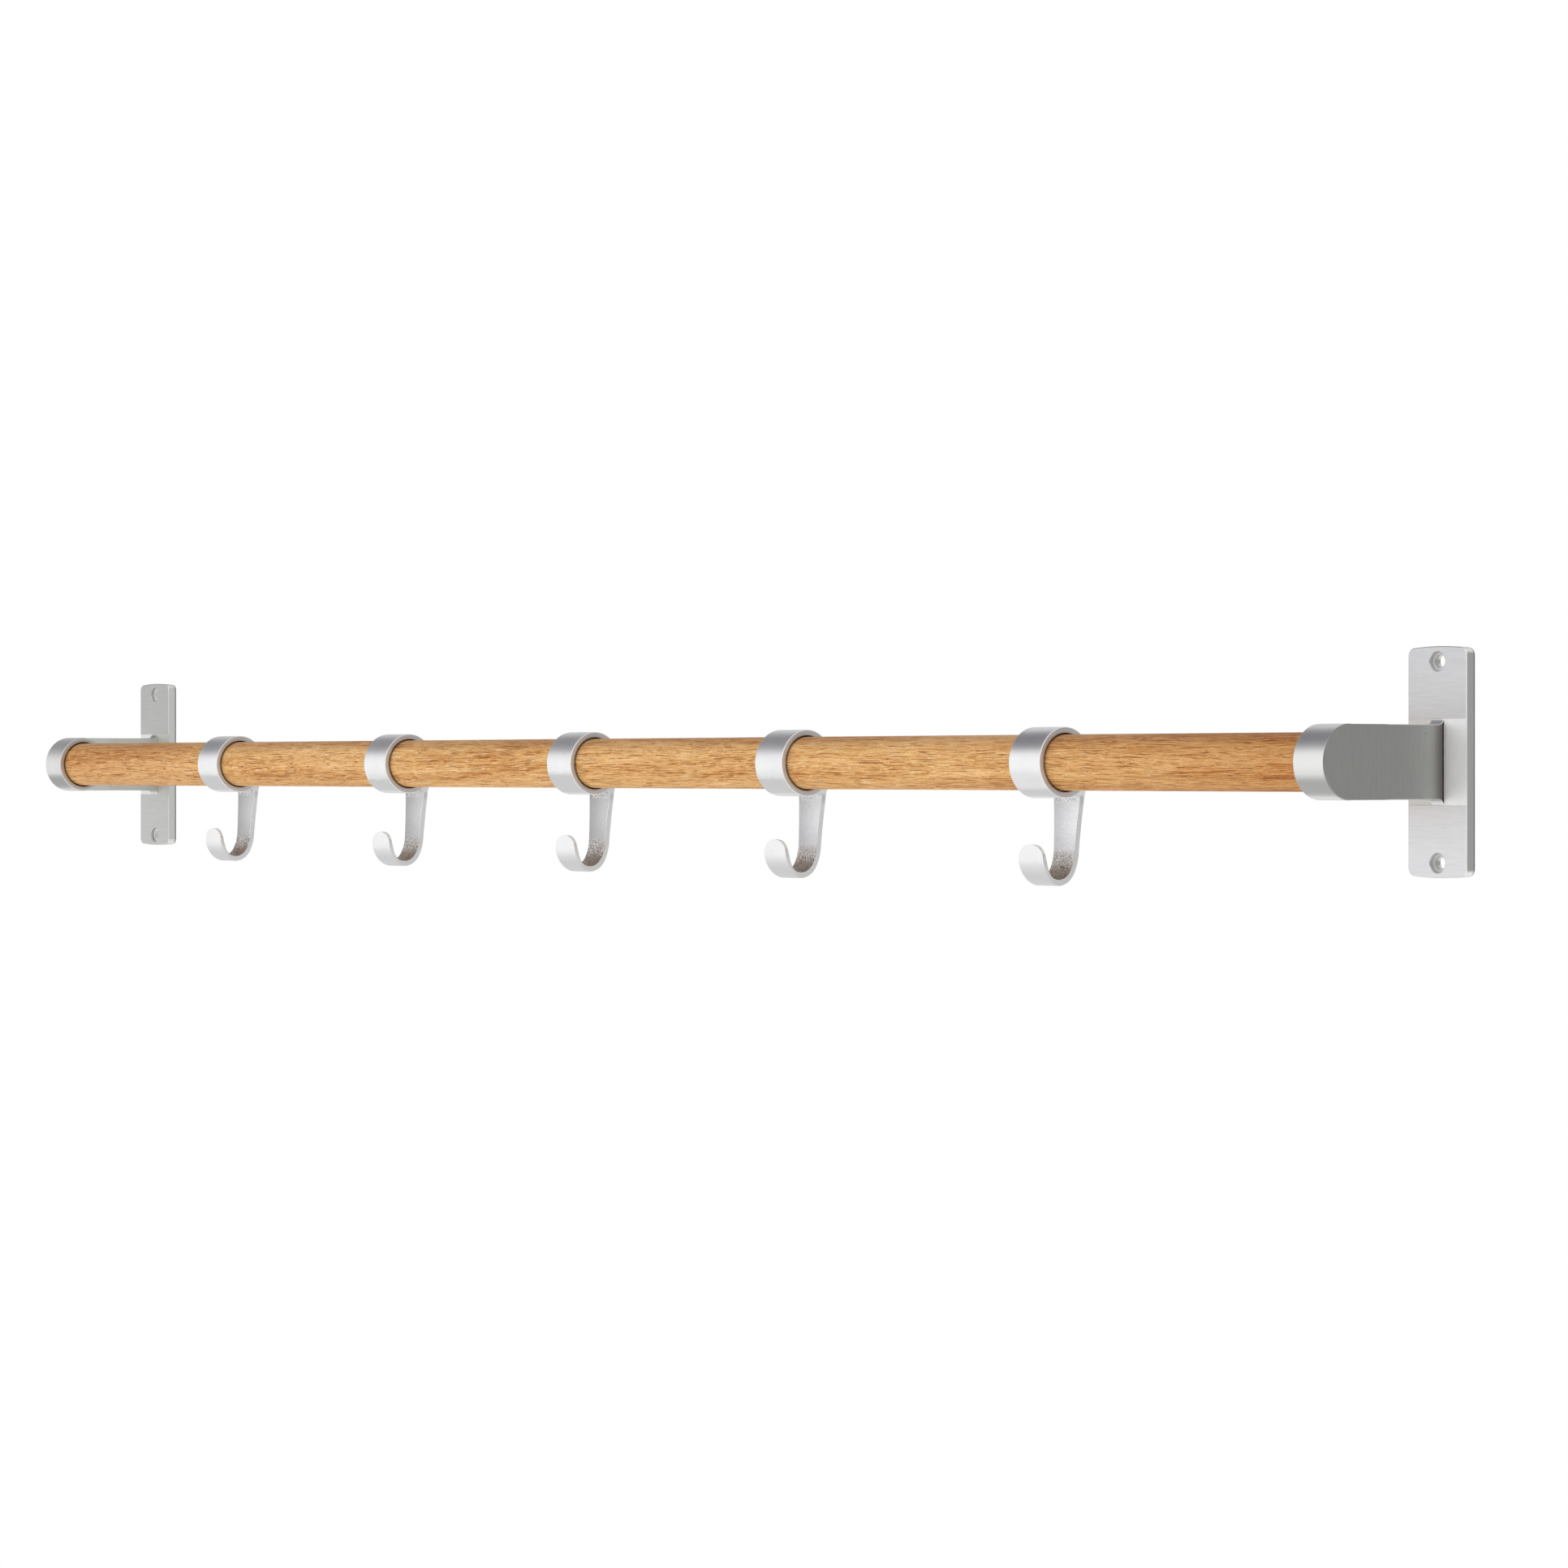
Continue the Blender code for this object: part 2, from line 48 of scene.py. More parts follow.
# The part's own sizes
DOWEL_RADIUS = 12.5 * MM
BRACKET_SPACING = 1036.0 * MM
PLATE_WIDTH = 33.0 * MM
PLATE_HEIGHT = 98.2 * MM
PLATE_THICKNESS = 5.4 * MM
PLATE_CROWN = 1.0 * MM
PLATE_CORNER_RADIUS = 3.5 * MM
PLATE_EDGE_RADIUS = 0.5 * MM
BAND_HEIGHT = 36.8 * MM
BAND_DEPTH = 0.25 * MM
SCREW_END_DISTANCE = 6.4 * MM
SCREW_HOLE_RADIUS = 2.9 * MM
COUNTERBORE_RADIUS = 4.15 * MM
COUNTERBORE_DEPTH = 1.7 * MM
HOLE_EDGE_CHAMFER = 0.3 * MM
AXIS_TO_PLATE = 57.5 * MM
ARM_THICKNESS = 7.0 * MM
ARM_INSET = 0.1 * MM
ARM_FILLET_RADIUS = 3.2 * MM
ARM_EDGE_RADIUS = 0.4 * MM
CUP_LENGTH = 17.5 * MM
CUP_WALL = 2.95 * MM
CUP_FLOOR = 4.0 * MM
CUP_EDGE_RADIUS = 0.6 * MM
CUP_MOUTH_CHAMFER = 0.4 * MM
CLEARANCE = 0.5 * MM
HOOK_PLACES = (-340.0 * MM, -171.5 * MM, -6.0 * MM, 161.5 * MM, 340.5 * MM)
RING_WALL = 2.9 * MM
RING_WIDTH = 20.3 * MM
RING_EDGE_RADIUS = 0.5 * MM
RING_BORE_CHAMFER = 0.3 * MM
HOOK_DROP = 55.0 * MM
LIP_HEIGHT = 18.6 * MM
BLADE_INSET = 3.2 * MM
BLADE_LEAN = math.radians(4.0)
BACK_RADIUS = 21.0 * MM
BACK_END = math.radians(30.0)
BEND_RADIUS = 9.2 * MM
BEND_END = math.radians(150.0)
FRONT_RADIUS = 16.0 * MM
STRIP_THICKNESS = 2.8 * MM
BEND_THICKNESS = 3.1 * MM
LIP_THICKNESS = 2.2 * MM
ROOT_HALF_WIDTH = 8.55 * MM
WAIST_HALF_WIDTH = 6.85 * MM
LIP_HALF_WIDTH = 8.3 * MM
LIP_ROUND_LENGTH = 8.6 * MM
LIP_ROUND_POWER = 2.3
TAPER_POWER = 1.4
BLADE_EDGE_RADIUS = 0.45 * MM
BACK_FILLET_RADIUS = 20.0 * MM
FRONT_FILLET_RADIUS = 2.8 * MM
FRONT_FILLET_SWEEP = math.radians(75.0)
SIDE_FILLET_RADIUS = 12.0 * MM
FILLET_SINK = 0.3 * MM

# Facets, finer than the part's
ROUND_STEPS = 128
HOLE_STEPS = 64
EDGE_STEPS = 4
CORNER_STEPS = 10
CROWN_STEPS = 16
FILLET_STEPS = 10
BACK_FILLET_STEPS = 6
STRIP_STEPS = 14
BACK_STEPS = 8
BEND_STEPS = 14
LIP_STEPS = 26
ROUND_END_STEPS = 16
BEVEL_ANGLE = math.radians(50.0)
SMOOTH_ANGLE = math.radians(32.0)
FLAT_ANGLE = math.radians(0.1)
LENGTH_ROUNDING = 0.001 * MM
CUT_MARGIN = 1.0 * MM

# Each hook's tone inside, the stretch of its ring in degrees below the front that takes a painted dark
# reflection, and its roughness
HookLook = namedtuple("HookLook", "strip_tone dull_start dull_end roughness")
HOOK_LOOKS = (
    HookLook(0.78, 24.0, 68.0, 0.37),
    HookLook(0.82, 32.0, 66.0, 0.37),
    HookLook(0.78, 20.0, 70.0, 0.37),
    HookLook(0.93, 28.0, 66.0, 0.37),
    HookLook(1.00, 48.0, 72.0, 0.31),
)

# In the looks below, colours and tones are linear, and WAVES are so many in a millimetre. A pair of
# numbers is where a mask is 0 and where it is 1, and two more after it are what it is there instead.
# SHOWN: values of a texture. FACING, ROUNDING and SQUARE_ON: how squarely a face looks one way.
# EASE: the distance past an edge or a middle, or the angle past a stretch's end. The other pairs are
# places in millimetres, from the dowel's axis on the oak and the hooks, and from the frame's origin
# on the brackets.
NOISE_MIDDLE = 0.5

# Oak
Grain = namedtuple("Grain", "waves detail roughness shown share colour")
WIDE_WANDER_WAVES = (0.009, 0.03, 0.03)
WIDE_WANDER = (0, 7.0, 7.0)
CLOSE_WANDER_WAVES = (0.05, 0.16, 0.16)
CLOSE_WANDER = (0, 1.5, 1.5)
GRAIN_BAND_WAVES = (0.006, 0.14, 0.14)
GRAIN_BAND_SHARE = 0.45
STREAK_WAVES = (0.030, 1.70, 1.70)
OAK_TONES = (
    (0.30, (0.600, 0.255, 0.068)),
    (0.42, (0.745, 0.378, 0.122)),
    (0.55, (0.860, 0.495, 0.188)),
    (0.68, (0.930, 0.600, 0.275)),
)
CROWDING_SHOWN = (0.36, 0.64, 0.032, -0.012)
FLECKS = Grain((0.10, 2.5, 2.5), 1.5, 0.5, (0.56, 0.68), 0.65, (0.99, 0.725, 0.405))
SHORT_PORES = Grain((0.11, 3.3, 3.3), 1.5, 0.5, (0.580, 0.640), 0.56, (0.48, 0.165, 0.028))
LONG_PORES = Grain((0.046, 2.5, 2.5), 2.5, 0.55, (0.580, 0.625), 0.84, (0.34, 0.095, 0.012))
FIBRE_WAVES = (1.5, 3.4, 3.4)
FIBRE_SHOWN = (0.34, 0.66)
FIBRE_TONES = ((0.84, 0.83, 0.81), (1.16, 1.17, 1.19))
# Painted shade on the dowel's top, and a painted sheen, a painted highlight, along its middle
SHADED_TOP = (6.0, 11.0)
SHADED_TOP_TONE = (0.84, 0.83, 0.90)
SHEEN_HEIGHT = 1.0
SHEEN_EASE = (8.0, 3.0)
PAINTED_SHEEN_TONE = (1.05, 1.07, 1.12)
RIGHT_END = (250.0, 530.0)
RIGHT_END_TONE = (0.77, 0.64, 0.52)
LEFT_END = (-350.0, -400.0)
LEFT_END_TONE = (0.93, 0.885, 0.87)
STREAK_HEIGHT = 0.4
SHORT_PORE_DEPTH = 0.5
OAK_ROUGHNESS = 0.66
STREAK_POLISH = 0.2
OAK_SPECULAR = 0.2
OAK_RELIEF = 0.10 * MM

# Both kinds of casting
WHITE = (1.0, 1.0, 1.0)
CLOUD_WAVES = 0.08
CLOUD_SHOWN = (0.3, 0.7)
CLOUD_ROUGHNESS = 0.06
GRIT_WAVES = 2.8
GRIT_SHOWN = (0.35, 0.7)
GRIT_SHARE = 0.10
GRIT_TONE = 0.6
GRIT_RELIEF = 0.012 * MM
SQUARE_ON = (0.93, 0.98)
ROUNDING_START = (0.25, 0.45)
ROUNDING_END = (0.95, 0.85)
UNLIT_COLOUR = (0.06, 0.05, 0.045)

# Hook castings
HOOK_METAL = (0.88, 0.88, 0.89)
HOOK_CLOUD_SHARE = 0.05
HOOK_GRIT_ROUGHNESS = 0.10
OPENING_POINT = (0, -1.0, -36.0)
FACING_OPENING = (0.12, 0.38)
OFF_RING_EASE = (0.05, 0.3)
SKIN_WAVES = 0.55
SKIN_WANDER = 6.0
# The cast skin's own grey, with painted light: lighter towards +X across the strip
SKIN_LIT_SIDE = (-6.0, 11.0)
SKIN_SHADED_TO_LIT_TONES = ((0.56, 0.56, 0.575), (0.80, 0.80, 0.82))
SKIN_ROUGHNESS = 0.10
SKIN_RELIEF = 0.10 * MM
FOOT = (-27.0, -38.0)
FOOT_TONE = 0.92
DEEP_BEND = (-41.0, -47.0)
DEEP_BEND_COLOUR = (0.46, 0.415, 0.385)
CORNER_HEIGHTS = (-18.6, -16.6)
CORNER_WIDTHS = (7.4, 6.2)
CORNER_SHARE = 0.4
COARSE_BEND = (-37.5, -42.0)
COARSE_BEND_POLISH = 0.14
PIT_WAVES = 1.3
PIT_SHOWN = (0.50, 0.62)
PIT_SHARE = 0.88
PIT_SHALLOW_SHARE = 0.4
PIT_COLOUR = (0.075, 0.066, 0.060)
PIT_RELIEF = 0.80 * MM
PIT_CROWD_WAVES = 0.35
PIT_CROWD_SHOWN = (0.40, 0.58)
# Painted glints: white painted highlights among the pits
GLINT_SHOWN = (0.52, 0.44)
GLINT_HEIGHTS = (-49.0, -44.0)
GLINT_MATT = 0.7
SPECK_WAVES = 2.4
SPECK_SHOWN = (0.35, 0.65)
SPECK_TONES = ((0.90, 0.90, 0.90), (1.10, 1.10, 1.10))
# Painted shade on the underside of the bend
SHADED_UNDERSIDE_RADII = (17.0, 16.0)
SHADED_UNDERSIDE_HEIGHTS = (-43.0, -51.5)
SHADED_UNDERSIDE_COLOUR = (0.68, 0.68, 0.685)
# Painted highlight: the blade's side faces are painted white
LIT_SIDE_HEIGHTS = (-17.0, -21.0)
LIT_SIDE_MATT = 0.15
# Painted white highlight lines along the hooks' roundings
HOOK_HIGHLIGHT_LINE_HEIGHTS = (-45.0, -40.0)
HOOK_HIGHLIGHT_LINE_MATT = 0.6
# A painted dark reflection band low on each ring's front
DARK_BAND_WANDER = 14.0
DARK_BAND_START_EASE = (-6.0, 5.0)
DARK_BAND_END_EASE = (5.0, -5.0)
DARK_BAND_FACING = (0.5, 0.2)
DARK_BAND_COLOUR = (0.66, 0.66, 0.665)
ON_RING_EASE = (0.3, 0.1)
END_FACE_EASE = (0.4, 0.2)
END_FACE_TONE = 0.84
END_FACE_MATT = 0.40
END_FACE_ROUGHNESS = 0.18
# A painted reflection of the shaded wood on the rings' end faces beside the bore
WOOD_REFLECTION_EASE = (1.4, 0.3)
WOOD_REFLECTION_DEPTHS = (2.0, -10.0, 0.2, 0.7)
WOOD_REFLECTION_COLOUR = (0.24, 0.185, 0.15)
IN_BORE_EASE = (0.35, 0.1)

# Bracket castings
BRACKET_METAL = (0.80, 0.80, 0.795)
BRACKET_CLOUD_SHARE = 0.03
BRACKET_ROUGHNESS = 0.32
BRACKET_GRIT_ROUGHNESS = 0.08
BY_PLATE = (-7.0, -6.0)
BAND_EASE = (0.1, -0.1)
ARM_EASE = (0.5, 0.2)
ARM_HEIGHTS = (21.0, 20.0)
ARM_OUTER_EASE = (-1.0, 1.0)
ON_LEFT = (-400.0, -450.0)
ON_CUP = (-38.0, -42.0)
ACROSS_WAVES = (0.10, 1.0, 2.6)
UPRIGHT_WAVES = (2.2, 2.2, 0.09)
STROKE_SHOWN = (0.30, 0.72)
STROKE_ROUGHNESS = 0.10
STROKE_RELIEF = 0.02 * MM
PLATE_TONES = ((0.660, 0.666, 0.678), (0.605, 0.611, 0.623))
PLATE_SHADE_HEIGHTS = (45.0, -45.0)
PLATE_SHADES = ((0.94, 0.94, 0.94), (1.09, 1.09, 1.09))
# Painted light: the band outside the arm is painted lighter, where the arm shades it
LIT_BESIDE_ARM_EASE = (1.0, 6.0)
BAND_TONES_LIT_BESIDE_ARM = ((0.74, 0.745, 0.73), (1.0, 1.0, 1.0))
BAND_STROKE_SHARE = 0.25
BAND_STROKE_COLOUR = (0.60, 0.60, 0.60)
BAND_ROUGHNESS = 0.14
ARM_TONES = ((0.90, 0.90, 0.875), (0.82, 0.82, 0.80))
ARM_OUTER_TONES = ((0.480, 0.486, 0.468), (0.425, 0.430, 0.412))
PLATE_EDGE_DEPTHS = (-8.0, -6.0)
PLATE_EDGE_TONES = ((0.62, 0.62, 0.62), (1.0, 1.0, 1.0))
HOLE_EASE = (0.45, 0.15)
HOLE_FRONT_EASE = (0.05, 0.3)
HOLE_BACK = (-1.0, -2.0)
HOLE_COLOUR = (0.66, 0.66, 0.655)
HOLE_ROUGHNESS = 0.16
# Painted highlight: the left plate's holes are painted white inside
LIT_HOLE_EASE = (0.8, 0.3)
LIT_HOLE_MATT = 0.95
NEAR_SIDE_EASE = (-2.0, -1.0)
# A painted shadow line along the plate's back edge
REAR_SHADOW_DEPTHS = (-1.3, -0.7)
REAR_SHADOW_FACING = (0.3, 0.6)
REAR_SHADOW_SHARE = 0.8
REAR_SHADOW_COLOUR = (0.12, 0.12, 0.125)
BRACKET_MATT = 0.6
ARM_SHADE_DEPTHS = (-14.0, -5.6)
ARM_SHADE_SHARE = 0.80
ARM_SHADE_COLOUR = (0.14, 0.115, 0.105)
# A painted shadow line in the corner between the arm and the plate
ARM_CORNER_SHADOW_DEPTHS = (-6.1, -5.85)
ARM_CORNER_SHADOW_SHARE = 0.94
ARM_CORNER_SHADOW_COLOUR = (0.012, 0.010, 0.018)
# Painted shade on the cup's rim
RIM_FACING = (0.20, 0.45)
RIM_EASE = (-3.0, -1.0)
RIM_SHADE_SHARE = 0.90
RIM_SHADE_COLOUR = (0.27, 0.275, 0.262)
# A painted dark reflection low on the cup's front
LOW_FRONT = (0, -0.73, -0.68)
LOW_FRONT_FACING = (0.90, 0.99)
LOW_FRONT_REFLECTION_SHARE = 0.80
LOW_FRONT_REFLECTION_COLOUR = (0.36, 0.36, 0.355)
CASTING_PIT_WAVES = 0.085
CASTING_PIT_SHOWN = (0.035, 0.018)
CASTING_PIT_SHARE = 0.7
CASTING_PIT_COLOUR = (0.12, 0.12, 0.11)
INNER_SIDE_EASE = (0.3, -0.1)
# A painted reflection of the wood on the cup's mouth
SOCKET_WOOD_REFLECTION_EASE = (2.2, 0.4)
SOCKET_WOOD_REFLECTION_SHARE = 0.35
SOCKET_WOOD_REFLECTION_COLOUR = (0.34, 0.285, 0.245)
IN_SOCKET_EASE = (0.5, 0.1)
LEFT_TINT = (0.93, 0.93, 0.905)
LEFT_PLATE_TINT = (0.74, 0.745, 0.715)
LEFT_BAND_TINT = (0.87, 0.87, 0.85)
LEFT_CUP_TINT = (0.94, 0.94, 0.94)
LEFT_CUP_ROUGHNESS = 0.13

# Studio: the light of the surroundings by height, and patches of it, each with its direction, the
# degrees from that within which it is full and past which it is gone, and its light
LIGHT_HEIGHTS = (0.05, 0.9)
LIGHT_TONES = ((0.76, 0.76, 0.76), (0.68, 0.68, 0.68))
LIGHT_PATCHES = (
    ((0.10, -0.99, 0.0), 20, 62, (1.40, 1.40, 1.40)),
    ((-0.74, -0.67, -0.10), 18, 44, (1.08, 1.08, 1.08)),
    ((-0.73, -0.13, 0.67), 8, 36, (0.205, 0.205, 0.22)),
    ((0.77, 0.64, 0.0), 14, 46, (0.46, 0.46, 0.455)),
    ((0.77, -0.64, 0.0), 10, 34, (0.13, 0.12, 0.11)),
)
FLOOR_PLACE = (0, 0, -1.25)
FLOOR_RADIUS = 3.5
FLOOR_STEPS = 96
FLOOR_COLOUR = (0.80, 0.80, 0.79, 1.0)
FLOOR_GLOW = 0.34

# The photo's camera, as solved, with its lengths in pixels of the photo
PHOTO_PIXELS = 1932
FOCAL_PIXELS = 5260.26
HORIZON_ROW = 948.23
SENSOR_WIDTH = 36.0
CAMERA_TURN = 0.88
CAMERA_PLACE = (1.73335, -1.36843, -0.00314)

AXIS_Y = -(PLATE_THICKNESS + AXIS_TO_PLATE)
SOCKET_RADIUS = DOWEL_RADIUS + CLEARANCE
CUP_RADIUS = SOCKET_RADIUS + CUP_WALL
CUP_OUTER_FACE = (BRACKET_SPACING + ARM_THICKNESS) / 2
DOWEL_LENGTH = 2 * (CUP_OUTER_FACE - CUP_FLOOR - CLEARANCE)
RING_BORE_RADIUS = DOWEL_RADIUS + CLEARANCE
RING_RADIUS = RING_BORE_RADIUS + RING_WALL
SCREW_HEIGHT = PLATE_HEIGHT / 2 - SCREW_END_DISTANCE

SIDE_VIEW = Matrix(((0, 0, 1, 0), (1, 0, 0, 0), (0, 1, 0, 0), (0, 0, 0, 1)))
FRONT_VIEW = Matrix(((1, 0, 0, 0), (0, 0, -1, 0), (0, 1, 0, 0), (0, 0, 0, 1)))

scene = bpy.context.scene
scene.view_settings.view_transform = "Standard"
scene.view_settings.look = "None"


# Shapes

def add_object(name, mesh, location=(0, 0, 0)):
    thing = bpy.data.objects.new(name, mesh)
    thing.location = location
    scene.collection.objects.link(thing)
    return thing


def evaluated_mesh(thing, name):
    bpy.context.view_layer.update()
    graph = bpy.context.evaluated_depsgraph_get()
    mesh = bpy.data.meshes.new_from_object(thing.evaluated_get(graph))
    mesh.name = name
    return mesh


def weld(mesh):
    shape = bmesh.new()
    shape.from_mesh(mesh)
    bmesh.ops.remove_doubles(shape, verts=shape.verts, dist=LENGTH_ROUNDING)
    bmesh.ops.recalc_face_normals(shape, faces=shape.faces)
    shape.to_mesh(mesh)
    shape.free()


def join_flats(mesh):
    shape = bmesh.new()
    shape.from_mesh(mesh)
    bmesh.ops.dissolve_limit(shape, angle_limit=FLAT_ANGLE, verts=shape.verts, edges=shape.edges)
    shape.to_mesh(mesh)
    shape.free()


def ease(share):
    share = min(max(share, 0.0), 1.0)
    return share * share * (3 - 2 * share)


def spread(start, end, steps):
    return [start + (end - start) * i / steps for i in range(steps + 1)]


def arc(centre, radius, start, end, steps):
    points = []
    for i in range(steps + 1):
        angle = start + (end - start) * i / steps
        points.append((centre[0] + radius * math.cos(angle), centre[1] + radius * math.sin(angle)))
    return points


def extruded(name, outline, depth, view):
    curve = bpy.data.curves.new(name, "CURVE")
    curve.dimensions = "2D"
    curve.fill_mode = "BOTH"
    curve.extrude = depth / 2
    spline = curve.splines.new("POLY")
    spline.points.add(len(outline) - 1)
    for point, (x, y) in zip(spline.points, outline):
        point.co = (x, y, 0, 1)
    spline.use_cyclic_u = True
    flat = add_object(name + "_outline", curve)
    mesh = evaluated_mesh(flat, name)
    bpy.data.objects.remove(flat, do_unlink=True)
    bpy.data.curves.remove(curve)
    weld(mesh)
    join_flats(mesh)
    mesh.transform(view)
    return add_object(name, mesh)


def turned(name, profile, steps):
    """A profile of (radius, height) points turned about X."""
    mesh = bpy.data.meshes.new(name)
    edges = [(i, i + 1) for i in range(len(profile) - 1)]
    mesh.from_pydata([(radius, 0, height) for radius, height in profile], edges, [])
    lathe = add_object(name + "_profile", mesh)
    screw = lathe.modifiers.new("turn", "SCREW")
    screw.axis = "Z"
    screw.steps = steps
    screw.render_steps = steps
    screw.use_merge_vertices = True
    screw.merge_threshold = LENGTH_ROUNDING
    solid = evaluated_mesh(lathe, name)
    bpy.data.objects.remove(lathe, do_unlink=True)
    bpy.data.meshes.remove(mesh)
    weld(solid)
    solid.transform(SIDE_VIEW)
    return add_object(name, solid)


def rounded_disc(radius, half_width, edge):
    quarter = math.pi / 2
    top = arc((radius - edge, half_width - edge), edge, quarter, 0, EDGE_STEPS)
    bottom = arc((radius - edge, edge - half_width), edge, 0, -quarter, EDGE_STEPS)
    return [(0, half_width)] + top + bottom + [(0, -half_width)]


def flared_bore(radius, near, far, chamfer, blind):
    out = radius + chamfer + CUT_MARGIN
    profile = [(0, far + CUT_MARGIN), (out, far + CUT_MARGIN), (radius, far - chamfer)]
    if blind:
        return profile + [(radius, near), (0, near)]
    return profile + [(radius, near + chamfer), (out, near - CUT_MARGIN), (0, near - CUT_MARGIN)]


def lofted(name, loops):
    shape = bmesh.new()
    rings = [[shape.verts.new(point) for point in loop] for loop in loops]
    for one, two in zip(rings, rings[1:]):
        for i in range(len(one)):
            j = (i + 1) % len(one)
            shape.faces.new((one[i], one[j], two[j], two[i]))
    shape.faces.new(rings[0])
    shape.faces.new(rings[-1])
    bmesh.ops.recalc_face_normals(shape, faces=shape.faces)
    mesh = bpy.data.meshes.new(name)
    shape.to_mesh(mesh)
    shape.free()
    return add_object(name, mesh)


def combined(name, base, steps):
    for operation, other in steps:
        modifier = base.modifiers.new(other.name, "BOOLEAN")
        modifier.operation = operation
        modifier.solver = "EXACT"
        modifier.object = other
    mesh = evaluated_mesh(base, name)
    mesh.transform(base.matrix_world)
    for used in [base] + [other for _, other in steps]:
        bpy.data.objects.remove(used, do_unlink=True)
    return mesh


def add_bevel(thing, width, segments):
    bevel = thing.modifiers.new("edges", "BEVEL")
    bevel.width = width
    bevel.segments = segments
    bevel.limit_method = "ANGLE"
    bevel.angle_limit = BEVEL_ANGLE


def dress(name, mesh, material, node, body):
    """A finished piece in place of a CAD node, with flat faces shading flat up to their edges."""
    mesh.materials.clear()
    mesh.materials.append(material)
    mesh.shade_smooth()
    mesh.set_sharp_from_angle(angle=SMOOTH_ANGLE)
    piece = add_object(name, mesh)
    normals = piece.modifiers.new("normals", "WEIGHTED_NORMAL")
    normals.keep_sharp = True
    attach(piece, body)
    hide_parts(node)
    return piece


def make_dowel(material):
    half = DOWEL_LENGTH / 2
    profile = [(0, half), (DOWEL_RADIUS, half), (DOWEL_RADIUS, -half), (0, -half)]
    mesh = combined("rail_oak", turned("dowel", profile, ROUND_STEPS), [])
    mesh.transform(Matrix.Translation((0, AXIS_Y, 0)))
    dress("rail_oak", mesh, material, "rail", "rail_frame")


def plate_outline():
    half_width = PLATE_WIDTH / 2
    half_height = PLATE_HEIGHT / 2
    bow = (half_width ** 2 + PLATE_CROWN ** 2) / (2 * PLATE_CROWN)
    bow_centre = half_height - bow
    corner_x = half_width - PLATE_CORNER_RADIUS
    corner_z = bow_centre + math.sqrt((bow - PLATE_CORNER_RADIUS) ** 2 - corner_x ** 2)
    turn = math.atan2(corner_z - bow_centre, corner_x)
    corner = arc((corner_x, corner_z), PLATE_CORNER_RADIUS, 0, turn, CORNER_STEPS)
    crown = arc((0, bow_centre), bow, turn, math.pi - turn, CROWN_STEPS)
    other_corner = [(-x, z) for x, z in reversed(corner)]
    upper = corner + crown[1:-1] + other_corner
    return upper + [(-x, -z) for x, z in upper]


def arm_outline():
    half = CUP_RADIUS - ARM_INSET
    face = AXIS_Y + AXIS_TO_PLATE
    root = face + PLATE_THICKNESS / 2
    fillet_y = face - ARM_FILLET_RADIUS + FILLET_SINK
    top_fillet = arc((fillet_y, half + ARM_FILLET_RADIUS), ARM_FILLET_RADIUS,
                     -math.pi / 2, 0, FILLET_STEPS)
    top = [(AXIS_Y, half)] + top_fillet + [(root, half + ARM_FILLET_RADIUS)]
    bottom = [(y, -z) for y, z in reversed(top)]
    return bottom + top


def screw_cutter(name):
    wide, narrow, front = COUNTERBORE_RADIUS, SCREW_HOLE_RADIUS, PLATE_THICKNESS
    step = front - COUNTERBORE_DEPTH
    profile = [
        (0, front + CUT_MARGIN),
        (wide + HOLE_EDGE_CHAMFER + CUT_MARGIN, front + CUT_MARGIN),
        (wide, front - HOLE_EDGE_CHAMFER),
        (wide, step),
        (narrow, step),
        (narrow, -CUT_MARGIN),
        (0, -CUT_MARGIN),
    ]
    cutter = turned(name, profile, HOLE_STEPS)
    cutter.rotation_euler = (0, 0, -math.pi / 2)
    return cutter


def make_bracket(node, side, material):
    name = node + "_casting"
    middle = side * BRACKET_SPACING / 2
    outer_face = side * CUP_OUTER_FACE

    plate = extruded(name + "_plate", plate_outline(), PLATE_THICKNESS, FRONT_VIEW)
    plate.location = (middle, -PLATE_THICKNESS / 2, 0)
    add_bevel(plate, PLATE_EDGE_RADIUS, EDGE_STEPS)

    half_band = BAND_HEIGHT / 2
    band_outline = [(-PLATE_WIDTH, -half_band), (PLATE_WIDTH, -half_band),
                    (PLATE_WIDTH, half_band), (-PLATE_WIDTH, half_band)]
    band = extruded(name + "_band", band_outline, 2 * CUT_MARGIN, FRONT_VIEW)
    band.location = (middle, BAND_DEPTH - PLATE_THICKNESS - CUT_MARGIN, 0)

    arm = extruded(name + "_arm", arm_outline(), ARM_THICKNESS, SIDE_VIEW)
    arm.location = (middle, 0, 0)
    add_bevel(arm, ARM_EDGE_RADIUS, EDGE_STEPS)

    cup = turned(name + "_cup", rounded_disc(CUP_RADIUS, CUP_LENGTH / 2, CUP_EDGE_RADIUS), ROUND_STEPS)
    cup.location = (outer_face - side * CUP_LENGTH / 2, AXIS_Y, 0)

    socket_profile = flared_bore(SOCKET_RADIUS, 0, CUP_LENGTH - CUP_FLOOR, CUP_MOUTH_CHAMFER, True)
    socket = turned(name + "_socket", socket_profile, ROUND_STEPS)
    socket.location = (outer_face - side * CUP_FLOOR, AXIS_Y, 0)
    if side > 0:
        socket.rotation_euler = (0, 0, math.pi)

    steps = [("DIFFERENCE", band), ("UNION", arm), ("UNION", cup), ("DIFFERENCE", socket)]
    for height in (SCREW_HEIGHT, -SCREW_HEIGHT):
        hole = screw_cutter(name + "_screw_hole")
        hole.location = (middle, 0, height)
        steps.append(("DIFFERENCE", hole))
    mesh = combined(name, plate, steps)
    dress(name, mesh, material, node, "rail_frame")


